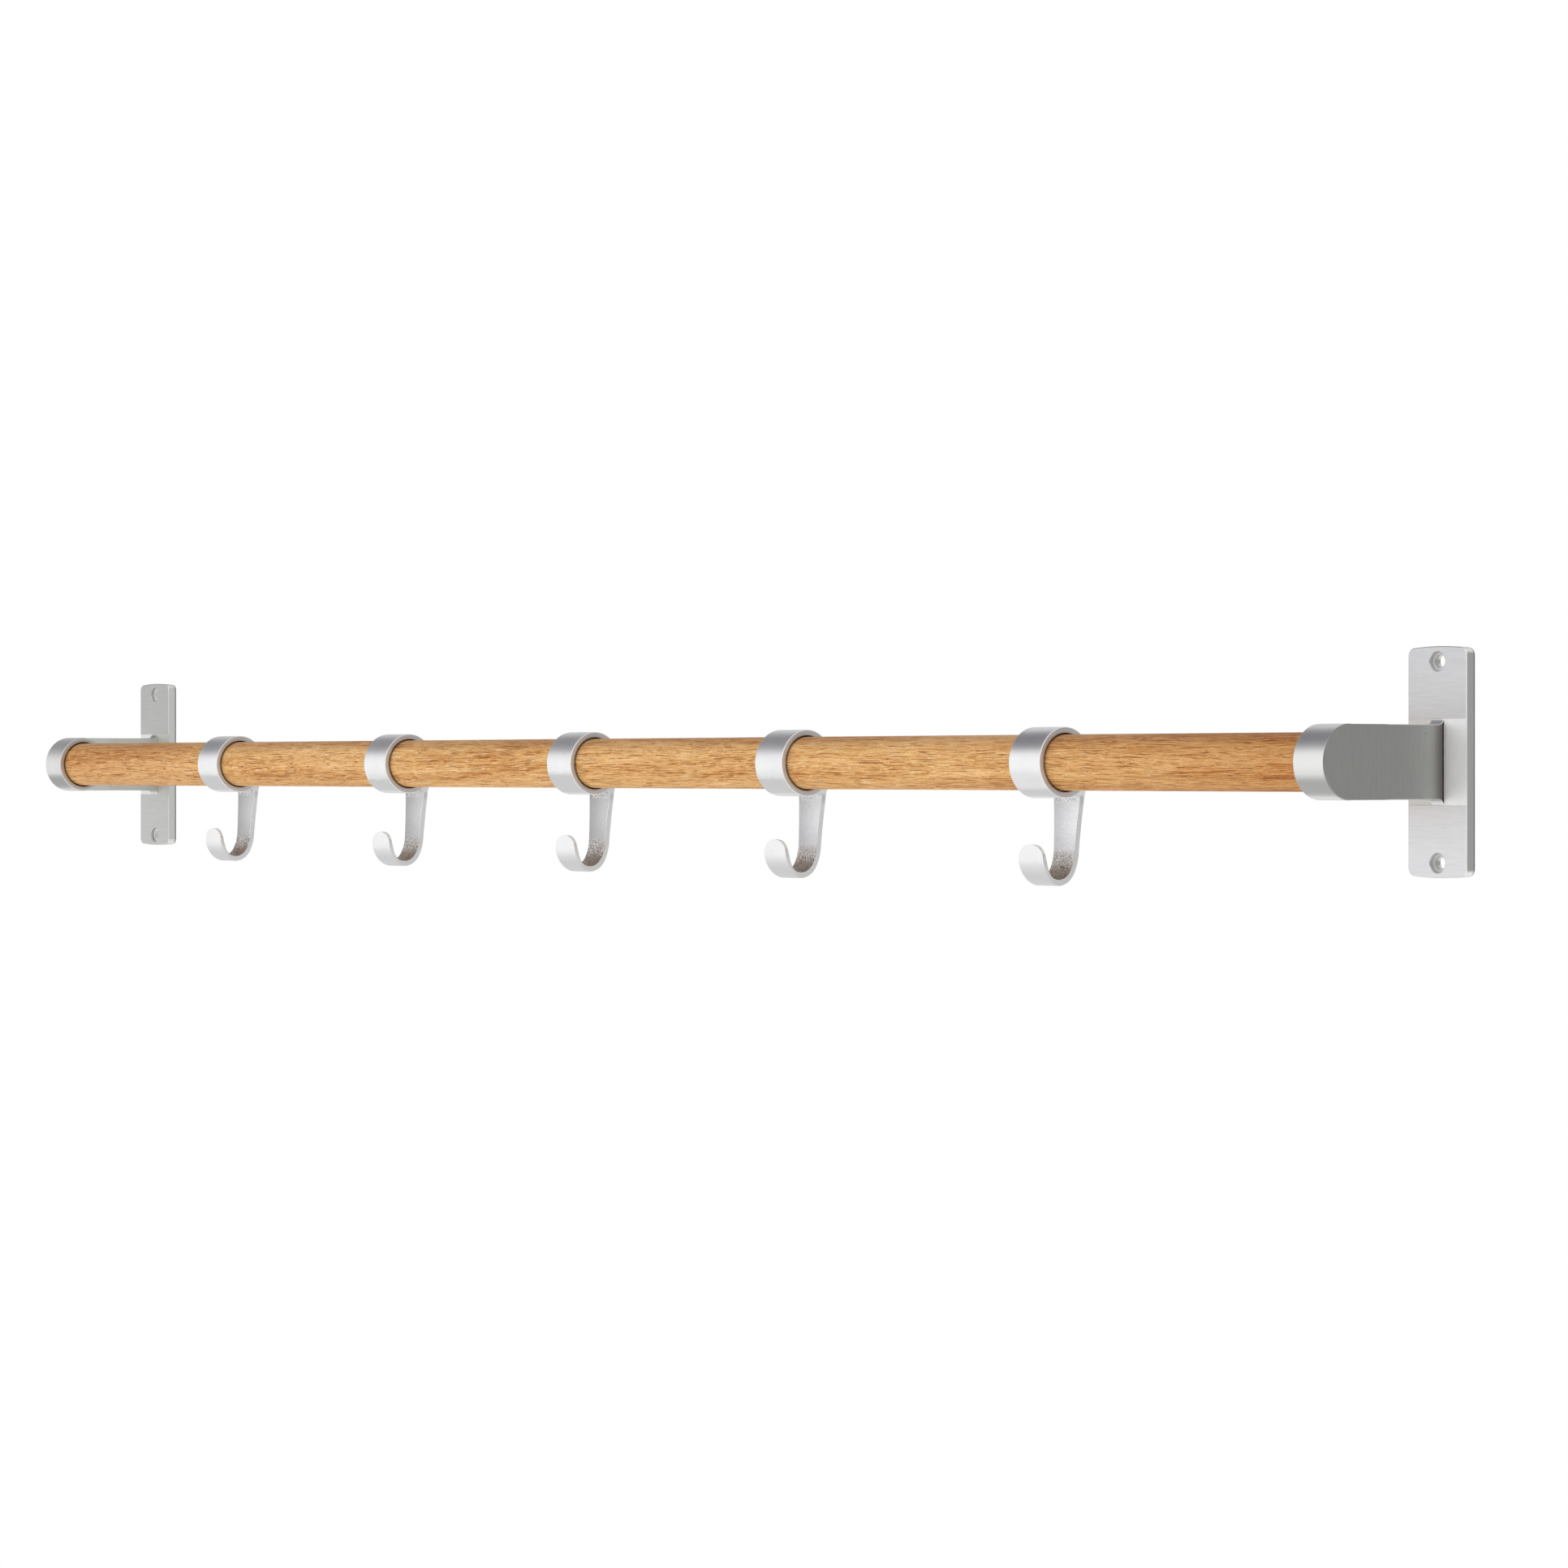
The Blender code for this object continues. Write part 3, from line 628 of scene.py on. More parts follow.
class BladePath:
    """The hook blade's middle line, in (y, z) about the dowel's axis, and its sizes."""

    def __init__(self):
        back_drop = BACK_RADIUS * (math.sin(BACK_END) - math.sin(BLADE_LEAN))
        bend_drop = BEND_RADIUS * (1 - math.sin(BACK_END))
        strip_drop = HOOK_DROP - BEND_THICKNESS / 2 - back_drop - bend_drop
        bend_rise = BEND_RADIUS * (1 - math.sin(BEND_END))
        front_rise = FRONT_RADIUS * math.sin(BEND_END)
        lip_length = LIP_HEIGHT - BEND_THICKNESS / 2 - bend_rise - front_rise

        self.start_y = RING_RADIUS - BLADE_INSET
        self.strip_end = strip_drop / math.cos(BLADE_LEAN)
        self.bend_start = self.strip_end + BACK_RADIUS * (BACK_END - BLADE_LEAN)
        self.lowest = self.bend_start + BEND_RADIUS * (math.pi / 2 - BACK_END)
        self.bend_end = self.bend_start + BEND_RADIUS * (BEND_END - BACK_END)
        self.front_end = self.bend_end + FRONT_RADIUS * (math.pi - BEND_END)
        self.tip = self.front_end + lip_length
        self.round_start = self.tip - LIP_ROUND_LENGTH

        foot = self.start_y * math.sin(BLADE_LEAN)
        reach = self.start_y * math.cos(BLADE_LEAN)
        half = STRIP_THICKNESS / 2
        back_out = reach + half + BACK_FILLET_RADIUS
        back_far = RING_RADIUS + BACK_FILLET_RADIUS - FILLET_SINK
        back_down = math.sqrt(back_far ** 2 - back_out ** 2)
        front_out = reach - half - FRONT_FILLET_RADIUS
        front_far = RING_RADIUS + FRONT_FILLET_RADIUS - FILLET_SINK
        front_down = math.sqrt(front_far ** 2 - front_out ** 2)
        self.back_fillet = foot + back_down
        self.front_fillet = foot + front_down
        self.top = foot + back_down * RING_RADIUS / back_far

    def point(self, distance):
        y, z, heading = self.start_y, 0.0, BLADE_LEAN
        strip = min(distance, self.strip_end)
        y -= strip * math.sin(heading)
        z -= strip * math.cos(heading)
        rest = distance - strip
        bends = ((BACK_RADIUS, BACK_END), (BEND_RADIUS, BEND_END), (FRONT_RADIUS, math.pi))
        for radius, end in bends:
            turn = min(rest / radius, end - heading)
            y += radius * (math.cos(heading + turn) - math.cos(heading))
            z += radius * (math.sin(heading) - math.sin(heading + turn))
            heading += turn
            rest -= turn * radius
        return y, z + rest, heading

    def taper(self, distance):
        share = (distance - self.front_fillet) / (self.strip_end - self.front_fillet)
        return (1 - min(max(share, 0.0), 1.0)) ** TAPER_POWER

    def thickness(self, distance):
        if distance <= self.lowest:
            return BEND_THICKNESS + (STRIP_THICKNESS - BEND_THICKNESS) * self.taper(distance)
        share = (distance - self.lowest) / (self.bend_end - self.lowest)
        return BEND_THICKNESS + (LIP_THICKNESS - BEND_THICKNESS) * ease(share)

    def half_width(self, distance):
        if distance <= self.lowest:
            width = WAIST_HALF_WIDTH + (ROOT_HALF_WIDTH - WAIST_HALF_WIDTH) * self.taper(distance)
            above = min(max(self.front_fillet - distance, 0.0), SIDE_FILLET_RADIUS)
            width += SIDE_FILLET_RADIUS - math.sqrt(SIDE_FILLET_RADIUS ** 2 - above ** 2)
            return min(width, RING_WIDTH / 2 - FILLET_SINK)
        if distance <= self.round_start:
            share = (distance - self.lowest) / (self.round_start - self.lowest)
            return WAIST_HALF_WIDTH + (LIP_HALF_WIDTH - WAIST_HALF_WIDTH) * ease(share)
        share = (distance - self.round_start) / LIP_ROUND_LENGTH
        return LIP_HALF_WIDTH * (1 - share ** LIP_ROUND_POWER) ** (1 / LIP_ROUND_POWER)

    def offsets(self, distance):
        outer = inner = self.thickness(distance) / 2
        above = self.back_fillet - distance
        if above > 0:
            outer += BACK_FILLET_RADIUS - math.sqrt(BACK_FILLET_RADIUS ** 2 - above ** 2)
        above = self.front_fillet - distance
        if above > FRONT_FILLET_RADIUS * math.sin(FRONT_FILLET_SWEEP) + LENGTH_ROUNDING:
            inner += FRONT_FILLET_RADIUS + FILLET_SINK
        elif above > 0:
            inner += FRONT_FILLET_RADIUS - math.sqrt(FRONT_FILLET_RADIUS ** 2 - above ** 2)
        return outer, inner

    def stations(self):
        sweep = [FRONT_FILLET_SWEEP * i / FILLET_STEPS for i in range(FILLET_STEPS, 0, -1)]
        fillet = [self.front_fillet - FRONT_FILLET_RADIUS * math.sin(angle) for angle in sweep]
        inside = fillet[0] - FILLET_SINK
        places = spread(self.top, inside, BACK_FILLET_STEPS) + fillet
        places += spread(self.front_fillet, self.strip_end, STRIP_STEPS)[:-1]
        places += spread(self.strip_end, self.bend_start, BACK_STEPS)[:-1]
        places += spread(self.bend_start, self.lowest, BEND_STEPS)[:-1]
        places += spread(self.lowest, self.round_start, LIP_STEPS)[:-1]
        for i in range(ROUND_END_STEPS):
            angle = math.pi / 2 * i / ROUND_END_STEPS
            places.append(self.round_start + LIP_ROUND_LENGTH * math.sin(angle))
        return places

    def section(self, distance):
        y, z, heading = self.point(distance)
        outer, inner = self.offsets(distance)
        half = self.half_width(distance)
        edge = min(BLADE_EDGE_RADIUS, half / 2)
        points = []
        for corner in range(4):
            start = corner * math.pi / 2
            across = (half - edge) * (1, -1, -1, 1)[corner]
            out = (outer - edge, outer - edge, edge - inner, edge - inner)[corner]
            for x, up in arc((across, out), edge, start, start + math.pi / 2, EDGE_STEPS):
                points.append((x, y + up * math.cos(heading), z - up * math.sin(heading)))
        return points


def make_hooks():
    ring = turned("ring", rounded_disc(RING_RADIUS, RING_WIDTH / 2, RING_EDGE_RADIUS), ROUND_STEPS)
    path = BladePath()
    blade = lofted("blade", [path.section(place) for place in path.stations()])
    half = RING_WIDTH / 2
    bore = turned("bore", flared_bore(RING_BORE_RADIUS, -half, half, RING_BORE_CHAMFER, False), ROUND_STEPS)
    mesh = combined("hook", ring, [("UNION", blade), ("DIFFERENCE", bore)])
    for number, (place, look) in enumerate(zip(HOOK_PLACES, HOOK_LOOKS), start=1):
        node = f"hook_{number}"
        own = mesh.copy()
        own.transform(Matrix.Translation((place, AXIS_Y, 0)))
        dress(node + "_casting", own, hook_material(node, place, look), node, node)


# Materials

class Tree:
    """A node tree that is built up by plain calls."""

    def __init__(self, tree):
        self.tree = tree
        tree.nodes.clear()

    def add(self, kind, inputs=(), **settings):
        node = self.tree.nodes.new(kind)
        for name, value in settings.items():
            setattr(node, name, value)
        for key, value in dict(inputs).items():
            if isinstance(value, bpy.types.NodeSocket):
                self.tree.links.new(value, node.inputs[key])
            else:
                node.inputs[key].default_value = value
        return node

    def math(self, operation, one, two=0.0):
        return self.add("ShaderNodeMath", {0: one, 1: two}, operation=operation).outputs[0]

    def plus(self, one, two):
        return self.math("ADD", one, two)

    def minus(self, one, two):
        return self.math("SUBTRACT", one, two)

    def times(self, value, *others):
        for other in others:
            value = self.math("MULTIPLY", value, other)
        return value

    def largest(self, value, *others):
        for other in others:
            value = self.math("MAXIMUM", value, other)
        return value

    def absolute(self, value):
        return self.math("ABSOLUTE", value)

    def vector(self, operation, one, two=(0, 0, 0)):
        node = self.add("ShaderNodeVectorMath", {0: one, 1: two}, operation=operation)
        return node.outputs["Value" if operation in ("DOT_PRODUCT", "LENGTH") else "Vector"]

    def scaled(self, vector, factors):
        return self.vector("MULTIPLY", vector, factors)

    def split(self, vector):
        parts = self.add("ShaderNodeSeparateXYZ", {0: vector}).outputs
        return parts["X"], parts["Y"], parts["Z"]

    def noise(self, place, waves, detail=2.0, roughness=0.5, output="Fac"):
        """Noise with so many waves in a millimetre along each axis."""
        place = self.scaled(place, waves)
        inputs = {"Vector": place, "Scale": 1.0, "Detail": detail, "Roughness": roughness}
        return self.add("ShaderNodeTexNoise", inputs, noise_dimensions="3D").outputs[output]

    def step(self, value, low, high, start=0.0, end=1.0):
        """Eases from start to end while value runs from low to high."""
        inputs = {"Value": value, "From Min": low, "From Max": high, "To Min": start, "To Max": end}
        return self.add("ShaderNodeMapRange", inputs, interpolation_type="SMOOTHSTEP").outputs[0]

    def step_past(self, value, edge, eases):
        """Eases from 0 to 1 between two places that are given as distances past an edge."""
        return self.step(value, edge + eases[0], edge + eases[1])

    def ramp(self, value, stops):
        node = self.add("ShaderNodeValToRGB", {"Fac": value})
        marks = node.color_ramp.elements
        while len(marks) < len(stops):
            marks.new(0.5)
        for mark, (place, colour) in zip(marks, stops):
            mark.position = place
            mark.color = (*colour, 1.0)
        return node.outputs["Color"]

    def mix(self, share, one, two):
        node = self.add("ShaderNodeMix", data_type="RGBA")
        for index, value in ((0, share), (6, one), (7, two)):
            if isinstance(value, bpy.types.NodeSocket):
                self.tree.links.new(value, node.inputs[index])
            elif index:
                node.inputs[index].default_value = (*value, 1.0)
            else:
                node.inputs[index].default_value = value
        return node.outputs[2]

    def toned(self, share, colour, factors):
        """The colour, times the factors where the share is 1."""
        return self.mix(share, colour, self.scaled(colour, factors))

    def millimetres(self):
        return self.scaled(self.add("ShaderNodeTexCoord").outputs["Object"], even(1 / MM))

    def normal(self):
        return self.add("ShaderNodeTexCoord").outputs["Normal"]

    def bump(self, height, distance, strength, normal=None):
        inputs = {"Height": height, "Distance": distance, "Strength": strength}
        if normal is not None:
            inputs["Normal"] = normal
        return self.add("ShaderNodeBump", inputs).outputs["Normal"]


def even(value):
    """A grey, or one value for all three axes."""
    return (value, value, value)


def new_material(name):
    material = bpy.data.materials.new(name)
    material.use_nodes = True
    return material, Tree(material.node_tree)


def finish_material(tree, **inputs):
    shader = tree.add("ShaderNodeBsdfPrincipled", {k.replace("_", " "): v for k, v in inputs.items()})
    tree.add("ShaderNodeOutputMaterial", {"Surface": shader.outputs[0]})


def wander(t, place, waves, reach):
    shift = t.noise(place, waves, output="Color")
    return t.scaled(t.vector("SUBTRACT", shift, even(NOISE_MIDDLE)), reach)


def grain_lines(t, grain, kind, crowding):
    noise = t.noise(grain, kind.waves, kind.detail, kind.roughness)
    return t.step(t.plus(noise, crowding), *kind.shown)


def oak_material():
    material, t = new_material("oak_look")
    place = t.vector("ADD", t.millimetres(), (0, -AXIS_Y / MM, 0))

    # The grain wanders up and down along the dowel
    wide = wander(t, place, WIDE_WANDER_WAVES, WIDE_WANDER)
    close = wander(t, place, CLOSE_WANDER_WAVES, CLOSE_WANDER)
    grain = t.vector("ADD", t.vector("ADD", place, wide), close)

    bands = t.noise(grain, GRAIN_BAND_WAVES)
    streaks = t.noise(grain, STREAK_WAVES, detail=4.0, roughness=0.70)
    tone = t.plus(streaks, t.times(t.minus(bands, NOISE_MIDDLE), GRAIN_BAND_SHARE))
    colour = t.ramp(tone, OAK_TONES)

    # Pale flecks, and open pores: long dark lines in the early wood, with short ones between them
    crowding = t.step(bands, *CROWDING_SHOWN)
    flecks = grain_lines(t, grain, FLECKS, 0.0)
    short_pores = grain_lines(t, grain, SHORT_PORES, crowding)
    long_pores = grain_lines(t, grain, LONG_PORES, crowding)
    for lines, kind in ((flecks, FLECKS), (short_pores, SHORT_PORES), (long_pores, LONG_PORES)):
        colour = t.mix(t.times(lines, kind.share), colour, kind.colour)

    # Fine fibres over everything, painted shade on the top, a painted sheen along the middle and browner
    # ends
    fibres = t.noise(grain, FIBRE_WAVES, roughness=0.75)
    colour = t.scaled(colour, t.mix(t.step(fibres, *FIBRE_SHOWN), *FIBRE_TONES))
    x, _, z = t.split(place)
    # Painted shade darkens the top, and a painted highlight lightens a band along the middle
    colour = t.toned(t.step(z, *SHADED_TOP), colour, SHADED_TOP_TONE)
    colour = t.toned(t.step(t.absolute(t.minus(z, SHEEN_HEIGHT)), *SHEEN_EASE), colour, PAINTED_SHEEN_TONE)
    colour = t.toned(t.step(x, *RIGHT_END), colour, RIGHT_END_TONE)
    colour = t.toned(t.step(x, *LEFT_END), colour, LEFT_END_TONE)

    height = t.minus(t.times(streaks, STREAK_HEIGHT), long_pores)
    height = t.minus(height, t.times(short_pores, SHORT_PORE_DEPTH))
    roughness = t.minus(OAK_ROUGHNESS, t.times(streaks, STREAK_POLISH))
    normal = t.bump(height, OAK_RELIEF, strength=0.5)
    finish_material(t, Base_Color=colour, Roughness=roughness, Specular_IOR_Level=OAK_SPECULAR,
                    Normal=normal)
    return material


def metal(t, place, base, cloud_share, rough, grit_roughness):
    """Aluminium: colour, roughness and fine height that vary over several scales."""
    cloud = t.noise(place, even(CLOUD_WAVES), detail=3.0)
    grit = t.noise(place, even(GRIT_WAVES), roughness=0.65)
    dim = tuple(part * (1 - cloud_share) for part in base)
    colour = t.mix(t.step(cloud, *CLOUD_SHOWN), dim, base)
    gritty = t.times(t.step(grit, *GRIT_SHOWN), GRIT_SHARE)
    colour = t.mix(gritty, colour, tuple(part * GRIT_TONE for part in base))
    roughness = t.plus(rough, t.times(t.minus(cloud, NOISE_MIDDLE), CLOUD_ROUGHNESS))
    roughness = t.plus(roughness, t.times(t.minus(grit, NOISE_MIDDLE), grit_roughness))
    return colour, roughness, grit


def roundings(t, facing_x):
    """1 on the roundings between the side faces and the rest."""
    return t.times(t.step(facing_x, *ROUNDING_START), t.step(facing_x, *ROUNDING_END))


class HookCasting:
    """One hook's casting: where its parts are, and its colour, gloss and relief, built up in turn."""

    def __init__(self, name, place_x, look):
        self.material, t = new_material(name + "_look")
        self.t = t
        self.look = look
        self.world_place = t.millimetres()
        place = t.vector("SUBTRACT", self.world_place, (place_x / MM, AXIS_Y / MM, 0))
        self.x, self.y, self.z = t.split(place)
        across = t.scaled(place, (0, 1, 1))
        self.radius = t.vector("LENGTH", across)
        normal_x, self.normal_y, self.normal_z = t.split(t.normal())
        self.facing_x = t.absolute(normal_x)
        self.side_face = t.step(self.facing_x, *SQUARE_ON)

        # The inside of the hook faces a point in its opening
        to_opening = t.vector("NORMALIZE", t.vector("SUBTRACT", OPENING_POINT, across))
        facing_opening = t.vector("DOT_PRODUCT", to_opening, t.normal())
        past_ring = t.step_past(self.radius, RING_RADIUS / MM, OFF_RING_EASE)
        self.inside = t.times(t.step(facing_opening, *FACING_OPENING), past_ring)

        self.skin = t.noise(self.world_place, even(SKIN_WAVES), detail=5.0, roughness=0.7)
        self.colour, self.roughness, self.grit = metal(
            t, self.world_place, HOOK_METAL, HOOK_CLOUD_SHARE, look.roughness, HOOK_GRIT_ROUGHNESS)

    def paint(self, share, colour):
        self.colour = self.t.mix(share, self.colour, colour)

    def add_cast_skin(self):
        t = self.t
        # The cast skin's own grey, painted lighter towards +X: painted light across the strip
        lit_side = t.step(t.plus(self.x, t.times(self.skin, SKIN_WANDER)), *SKIN_LIT_SIDE)
        colour = t.mix(lit_side, *SKIN_SHADED_TO_LIT_TONES)
        colour = t.scaled(colour, even(self.look.strip_tone))
        colour = t.toned(t.step(self.z, *FOOT), colour, even(FOOT_TONE))
        deep = t.times(t.step(self.z, *DEEP_BEND), self.inside)
        self.paint(self.inside, t.mix(deep, colour, DEEP_BEND_COLOUR))

    def add_coarse_grain(self):
        """Pits and painted glints in the bend and in the corner under the ring."""
        t = self.t
        corner = t.times(t.step(self.z, *CORNER_HEIGHTS), t.step(t.absolute(self.x), *CORNER_WIDTHS))
        self.corner = t.times(corner, self.inside)
        self.bend = t.times(t.step(self.z, *COARSE_BEND), self.inside)
        self.pits = t.noise(self.world_place, even(PIT_WAVES), detail=3.0, roughness=0.7)
        crowd = t.noise(self.world_place, even(PIT_CROWD_WAVES))
        dark = t.times(t.step(self.pits, *PIT_SHOWN), t.step(crowd, *PIT_CROWD_SHOWN))
        low_bend = t.times(self.bend, t.step(self.z, *DEEP_BEND, PIT_SHALLOW_SHARE, 1.0))
        dark = t.times(dark, t.largest(low_bend, t.times(self.corner, CORNER_SHARE)))
        self.paint(t.times(dark, PIT_SHARE), PIT_COLOUR)
        # Painted glints: white painted highlights among the pits
        painted_glints = t.times(t.step(self.pits, *GLINT_SHOWN), t.step(self.z, *GLINT_HEIGHTS))
        self.painted_glints = t.times(painted_glints, t.largest(self.bend, self.corner))
        self.paint(self.painted_glints, WHITE)
        specks = t.noise(self.world_place, even(SPECK_WAVES), roughness=0.7)
        specks = t.mix(t.step(specks, *SPECK_SHOWN), *SPECK_TONES)
        self.colour = t.toned(self.inside, self.colour, specks)

    def add_painted_light(self):
        """Painted shade on the underside, painted highlights on the side faces, and painted white highlight
        lines along the roundings.
        """
        t = self.t
        # Painted shade on the underside of the bend
        below = t.minus(1.0, t.largest(self.inside, t.step(self.radius, *SHADED_UNDERSIDE_RADII)))
        self.paint(t.times(t.step(self.z, *SHADED_UNDERSIDE_HEIGHTS), below), SHADED_UNDERSIDE_COLOUR)
        # Painted highlight: the side faces are painted white
        self.lit_sides = t.times(self.side_face, t.step(self.z, *LIT_SIDE_HEIGHTS))
        self.paint(self.lit_sides, WHITE)
        # Painted highlight lines along the roundings
        self.lines = t.times(roundings(t, self.facing_x), t.step(self.z, *HOOK_HIGHLIGHT_LINE_HEIGHTS))
        self.paint(self.lines, WHITE)

    def add_painted_dark_band(self):
        """A painted dark reflection in a stretch low on the ring's front."""
        t = self.t
        angle = t.math("ARCTAN2", t.times(self.normal_z, -1.0), t.times(self.normal_y, -1.0))
        angle = t.times(angle, math.degrees(1.0))
        angle = t.plus(angle, t.times(t.minus(self.skin, NOISE_MIDDLE), DARK_BAND_WANDER))
        painted_dark = t.times(t.step_past(angle, self.look.dull_start, DARK_BAND_START_EASE),
                       t.step_past(angle, self.look.dull_end, DARK_BAND_END_EASE))
        painted_dark = t.times(painted_dark, t.step_past(self.radius, RING_RADIUS / MM, ON_RING_EASE))
        # Painted dark reflection on the ring's front
        self.paint(t.times(painted_dark, t.step(self.facing_x, *DARK_BAND_FACING)), DARK_BAND_COLOUR)

    def add_bore(self):
        """End faces with a painted reflection of the shaded wood beside the bore, most at the front; an
        unlit bore.
        """
        t = self.t
        bore_radius = RING_BORE_RADIUS / MM
        self.end_face = t.times(self.side_face, t.step_past(self.radius, RING_RADIUS / MM, END_FACE_EASE))
        self.colour = t.toned(self.end_face, self.colour, even(END_FACE_TONE))
        # Painted reflection of the shaded wood beside the bore
        beside_bore = t.step_past(self.radius, bore_radius, WOOD_REFLECTION_EASE)
        self.paint(t.times(beside_bore, t.step(self.y, *WOOD_REFLECTION_DEPTHS)), WOOD_REFLECTION_COLOUR)
        self.paint(t.step_past(self.radius, bore_radius, IN_BORE_EASE), UNLIT_COLOUR)

    def finish(self):
        t = self.t
        roughness = t.plus(self.roughness, t.times(self.inside, SKIN_ROUGHNESS))
        roughness = t.minus(roughness, t.times(self.bend, COARSE_BEND_POLISH))
        roughness = t.plus(roughness, t.times(self.end_face, END_FACE_ROUGHNESS))
        coarse = t.largest(self.bend, t.times(self.corner, CORNER_SHARE))
        normal = t.bump(self.grit, GRIT_RELIEF, strength=0.5)
        normal = t.bump(t.times(self.skin, self.inside), SKIN_RELIEF, strength=0.6, normal=normal)
        normal = t.bump(t.times(self.pits, coarse), PIT_RELIEF, strength=1.0, normal=normal)
        matt = t.largest(t.times(self.lines, HOOK_HIGHLIGHT_LINE_MATT), t.times(self.painted_glints, GLINT_MATT),
                         t.times(self.lit_sides, LIT_SIDE_MATT), t.times(self.end_face, END_FACE_MATT))
        finish_material(t, Base_Color=self.colour, Metallic=t.minus(1.0, matt), Roughness=roughness,
                        Normal=normal)
        return self.material


def hook_material(name, place_x, look):
    """Tumbled outside, cast skin inside the hook, and dark in the bore."""
    casting = HookCasting(name, place_x, look)
    casting.add_cast_skin()
    casting.add_coarse_grain()
    casting.add_painted_light()
    casting.add_painted_dark_band()
    casting.add_bore()
    return casting.finish()


class BracketCasting:
    """The casting of both brackets, built up the same way."""

    def __init__(self):
        self.material, t = new_material("bracket_look")
        self.t = t
        self.place = t.millimetres()
        x, self.y, self.z = t.split(self.place)
        self.side = t.absolute(x)
        self.height = t.absolute(self.z)
        self.left = t.step(x, *ON_LEFT)
        self.cup = t.step(self.y, *ON_CUP)
        normal_x, normal_y, _ = t.split(t.normal())
        self.facing_x = t.absolute(normal_x)
        self.faces_x = t.step(self.facing_x, *SQUARE_ON)

        # The front of the plate, with its milled band and the rest
        faces_front = t.step(t.times(normal_y, -1.0), *SQUARE_ON)
        plate_face = t.times(faces_front, t.step(self.y, *BY_PLATE))
        self.on_band = t.times(plate_face, t.step_past(self.height, BAND_HEIGHT / MM / 2, BAND_EASE))
        self.off_band = t.minus(plate_face, self.on_band)

        # The flat sides of the arm, and of those the one that faces out
        self.middle = BRACKET_SPACING / MM / 2
        half_arm = ARM_THICKNESS / MM / 2
        off_middle = t.absolute(t.minus(self.side, self.middle))
        arm = t.times(t.step_past(off_middle, half_arm, ARM_EASE), t.step(self.height, *ARM_HEIGHTS))
        self.arm_side = t.times(arm, self.faces_x)
        self.outside = t.times(self.arm_side, t.step_past(self.side, self.middle, ARM_OUTER_EASE))

        self.colour, self.roughness, self.grit = metal(
            t, self.place, BRACKET_METAL, BRACKET_CLOUD_SHARE, BRACKET_ROUGHNESS, BRACKET_GRIT_ROUGHNESS)

    def paint(self, share, colour):
        self.colour = self.t.mix(share, self.colour, colour)

    def add_brushing(self):
        """Brushed across on the plate, up and down on the milled band and the arm's sides."""
        t = self.t
        across = t.noise(self.place, ACROSS_WAVES, detail=4.0, roughness=0.65)
        upright = t.noise(self.place, UPRIGHT_WAVES, detail=4.0, roughness=0.65)
        upright_faces = t.largest(self.faces_x, self.on_band)
        self.brushing = t.plus(t.times(across, self.off_band), t.times(upright, upright_faces))
        stroke = t.step(self.brushing, *STROKE_SHOWN)

        shade = t.mix(t.step(self.z, *PLATE_SHADE_HEIGHTS), *PLATE_SHADES)
        self.paint(self.off_band, t.scaled(t.mix(stroke, *PLATE_TONES), shade))
        # Painted light: the band outside the arm is painted lighter, where the arm shades it
        milled = t.mix(t.step_past(self.side, self.middle, LIT_BESIDE_ARM_EASE), *BAND_TONES_LIT_BESIDE_ARM)
        milled = t.mix(t.times(stroke, BAND_STROKE_SHARE), milled, BAND_STROKE_COLOUR)
        self.paint(self.on_band, milled)
        self.paint(self.arm_side, t.mix(stroke, *ARM_TONES))
        self.paint(self.outside, t.mix(stroke, *ARM_OUTER_TONES))
        plate_edge = t.times(t.minus(self.faces_x, self.arm_side), t.step(self.y, *PLATE_EDGE_DEPTHS))
        self.paint(plate_edge, t.mix(self.left, *PLATE_EDGE_TONES))
        self.roughness = t.plus(self.roughness, t.times(self.brushing, STROKE_ROUGHNESS))
        self.roughness = t.plus(self.roughness, t.times(self.on_band, BAND_ROUGHNESS))

    def add_counterbores(self):
        """Turned counterbores without the brushing; the left plate's holes are painted white inside, a
        painted highlight.
        """
        t = self.t
        across = t.minus(self.side, self.middle)
        up = t.minus(self.height, SCREW_HEIGHT / MM)
        radius = t.math("SQRT", t.plus(t.times(across, across), t.times(up, up)))
        hole = t.times(t.step_past(radius, COUNTERBORE_RADIUS / MM, HOLE_EASE),
                       t.step_past(self.y, -PLATE_THICKNESS / MM, HOLE_FRONT_EASE))
        self.hole = t.times(hole, t.step(self.y, *HOLE_BACK))
        # Painted highlight: the left plate's holes are painted white inside
        in_hole = t.step_past(radius, SCREW_HOLE_RADIUS / MM, LIT_HOLE_EASE)
        self.lit_hole = t.times(self.hole, self.left, in_hole)
        self.paint(self.hole, t.mix(self.lit_hole, HOLE_COLOUR, WHITE))
        self.roughness = t.plus(self.roughness, t.times(self.hole, HOLE_ROUGHNESS))

    def add_plate_edges(self):
        """Painted white highlight lines along the plate's roundings, and a painted shadow line at its back
        edge.
        """
        t = self.t
        off_middle = t.absolute(t.minus(self.side, self.middle))
        near_side = t.step_past(off_middle, PLATE_WIDTH / MM / 2, NEAR_SIDE_EASE)
        # Painted white highlight lines along the roundings
        self.lines = t.times(roundings(t, self.facing_x), near_side)
        self.paint(self.lines, WHITE)
        # Painted shadow line along the back edge
        rear_shadow = t.times(t.step(self.y, *REAR_SHADOW_DEPTHS), near_side)
        rear_shadow = t.times(rear_shadow, t.step(self.facing_x, *REAR_SHADOW_FACING))
        self.paint(t.times(rear_shadow, REAR_SHADOW_SHARE), REAR_SHADOW_COLOUR)

    def add_arm_shade(self):
        """Painted shade towards the corner between the arm and the plate, with a painted shadow line in it.
        """
        t = self.t
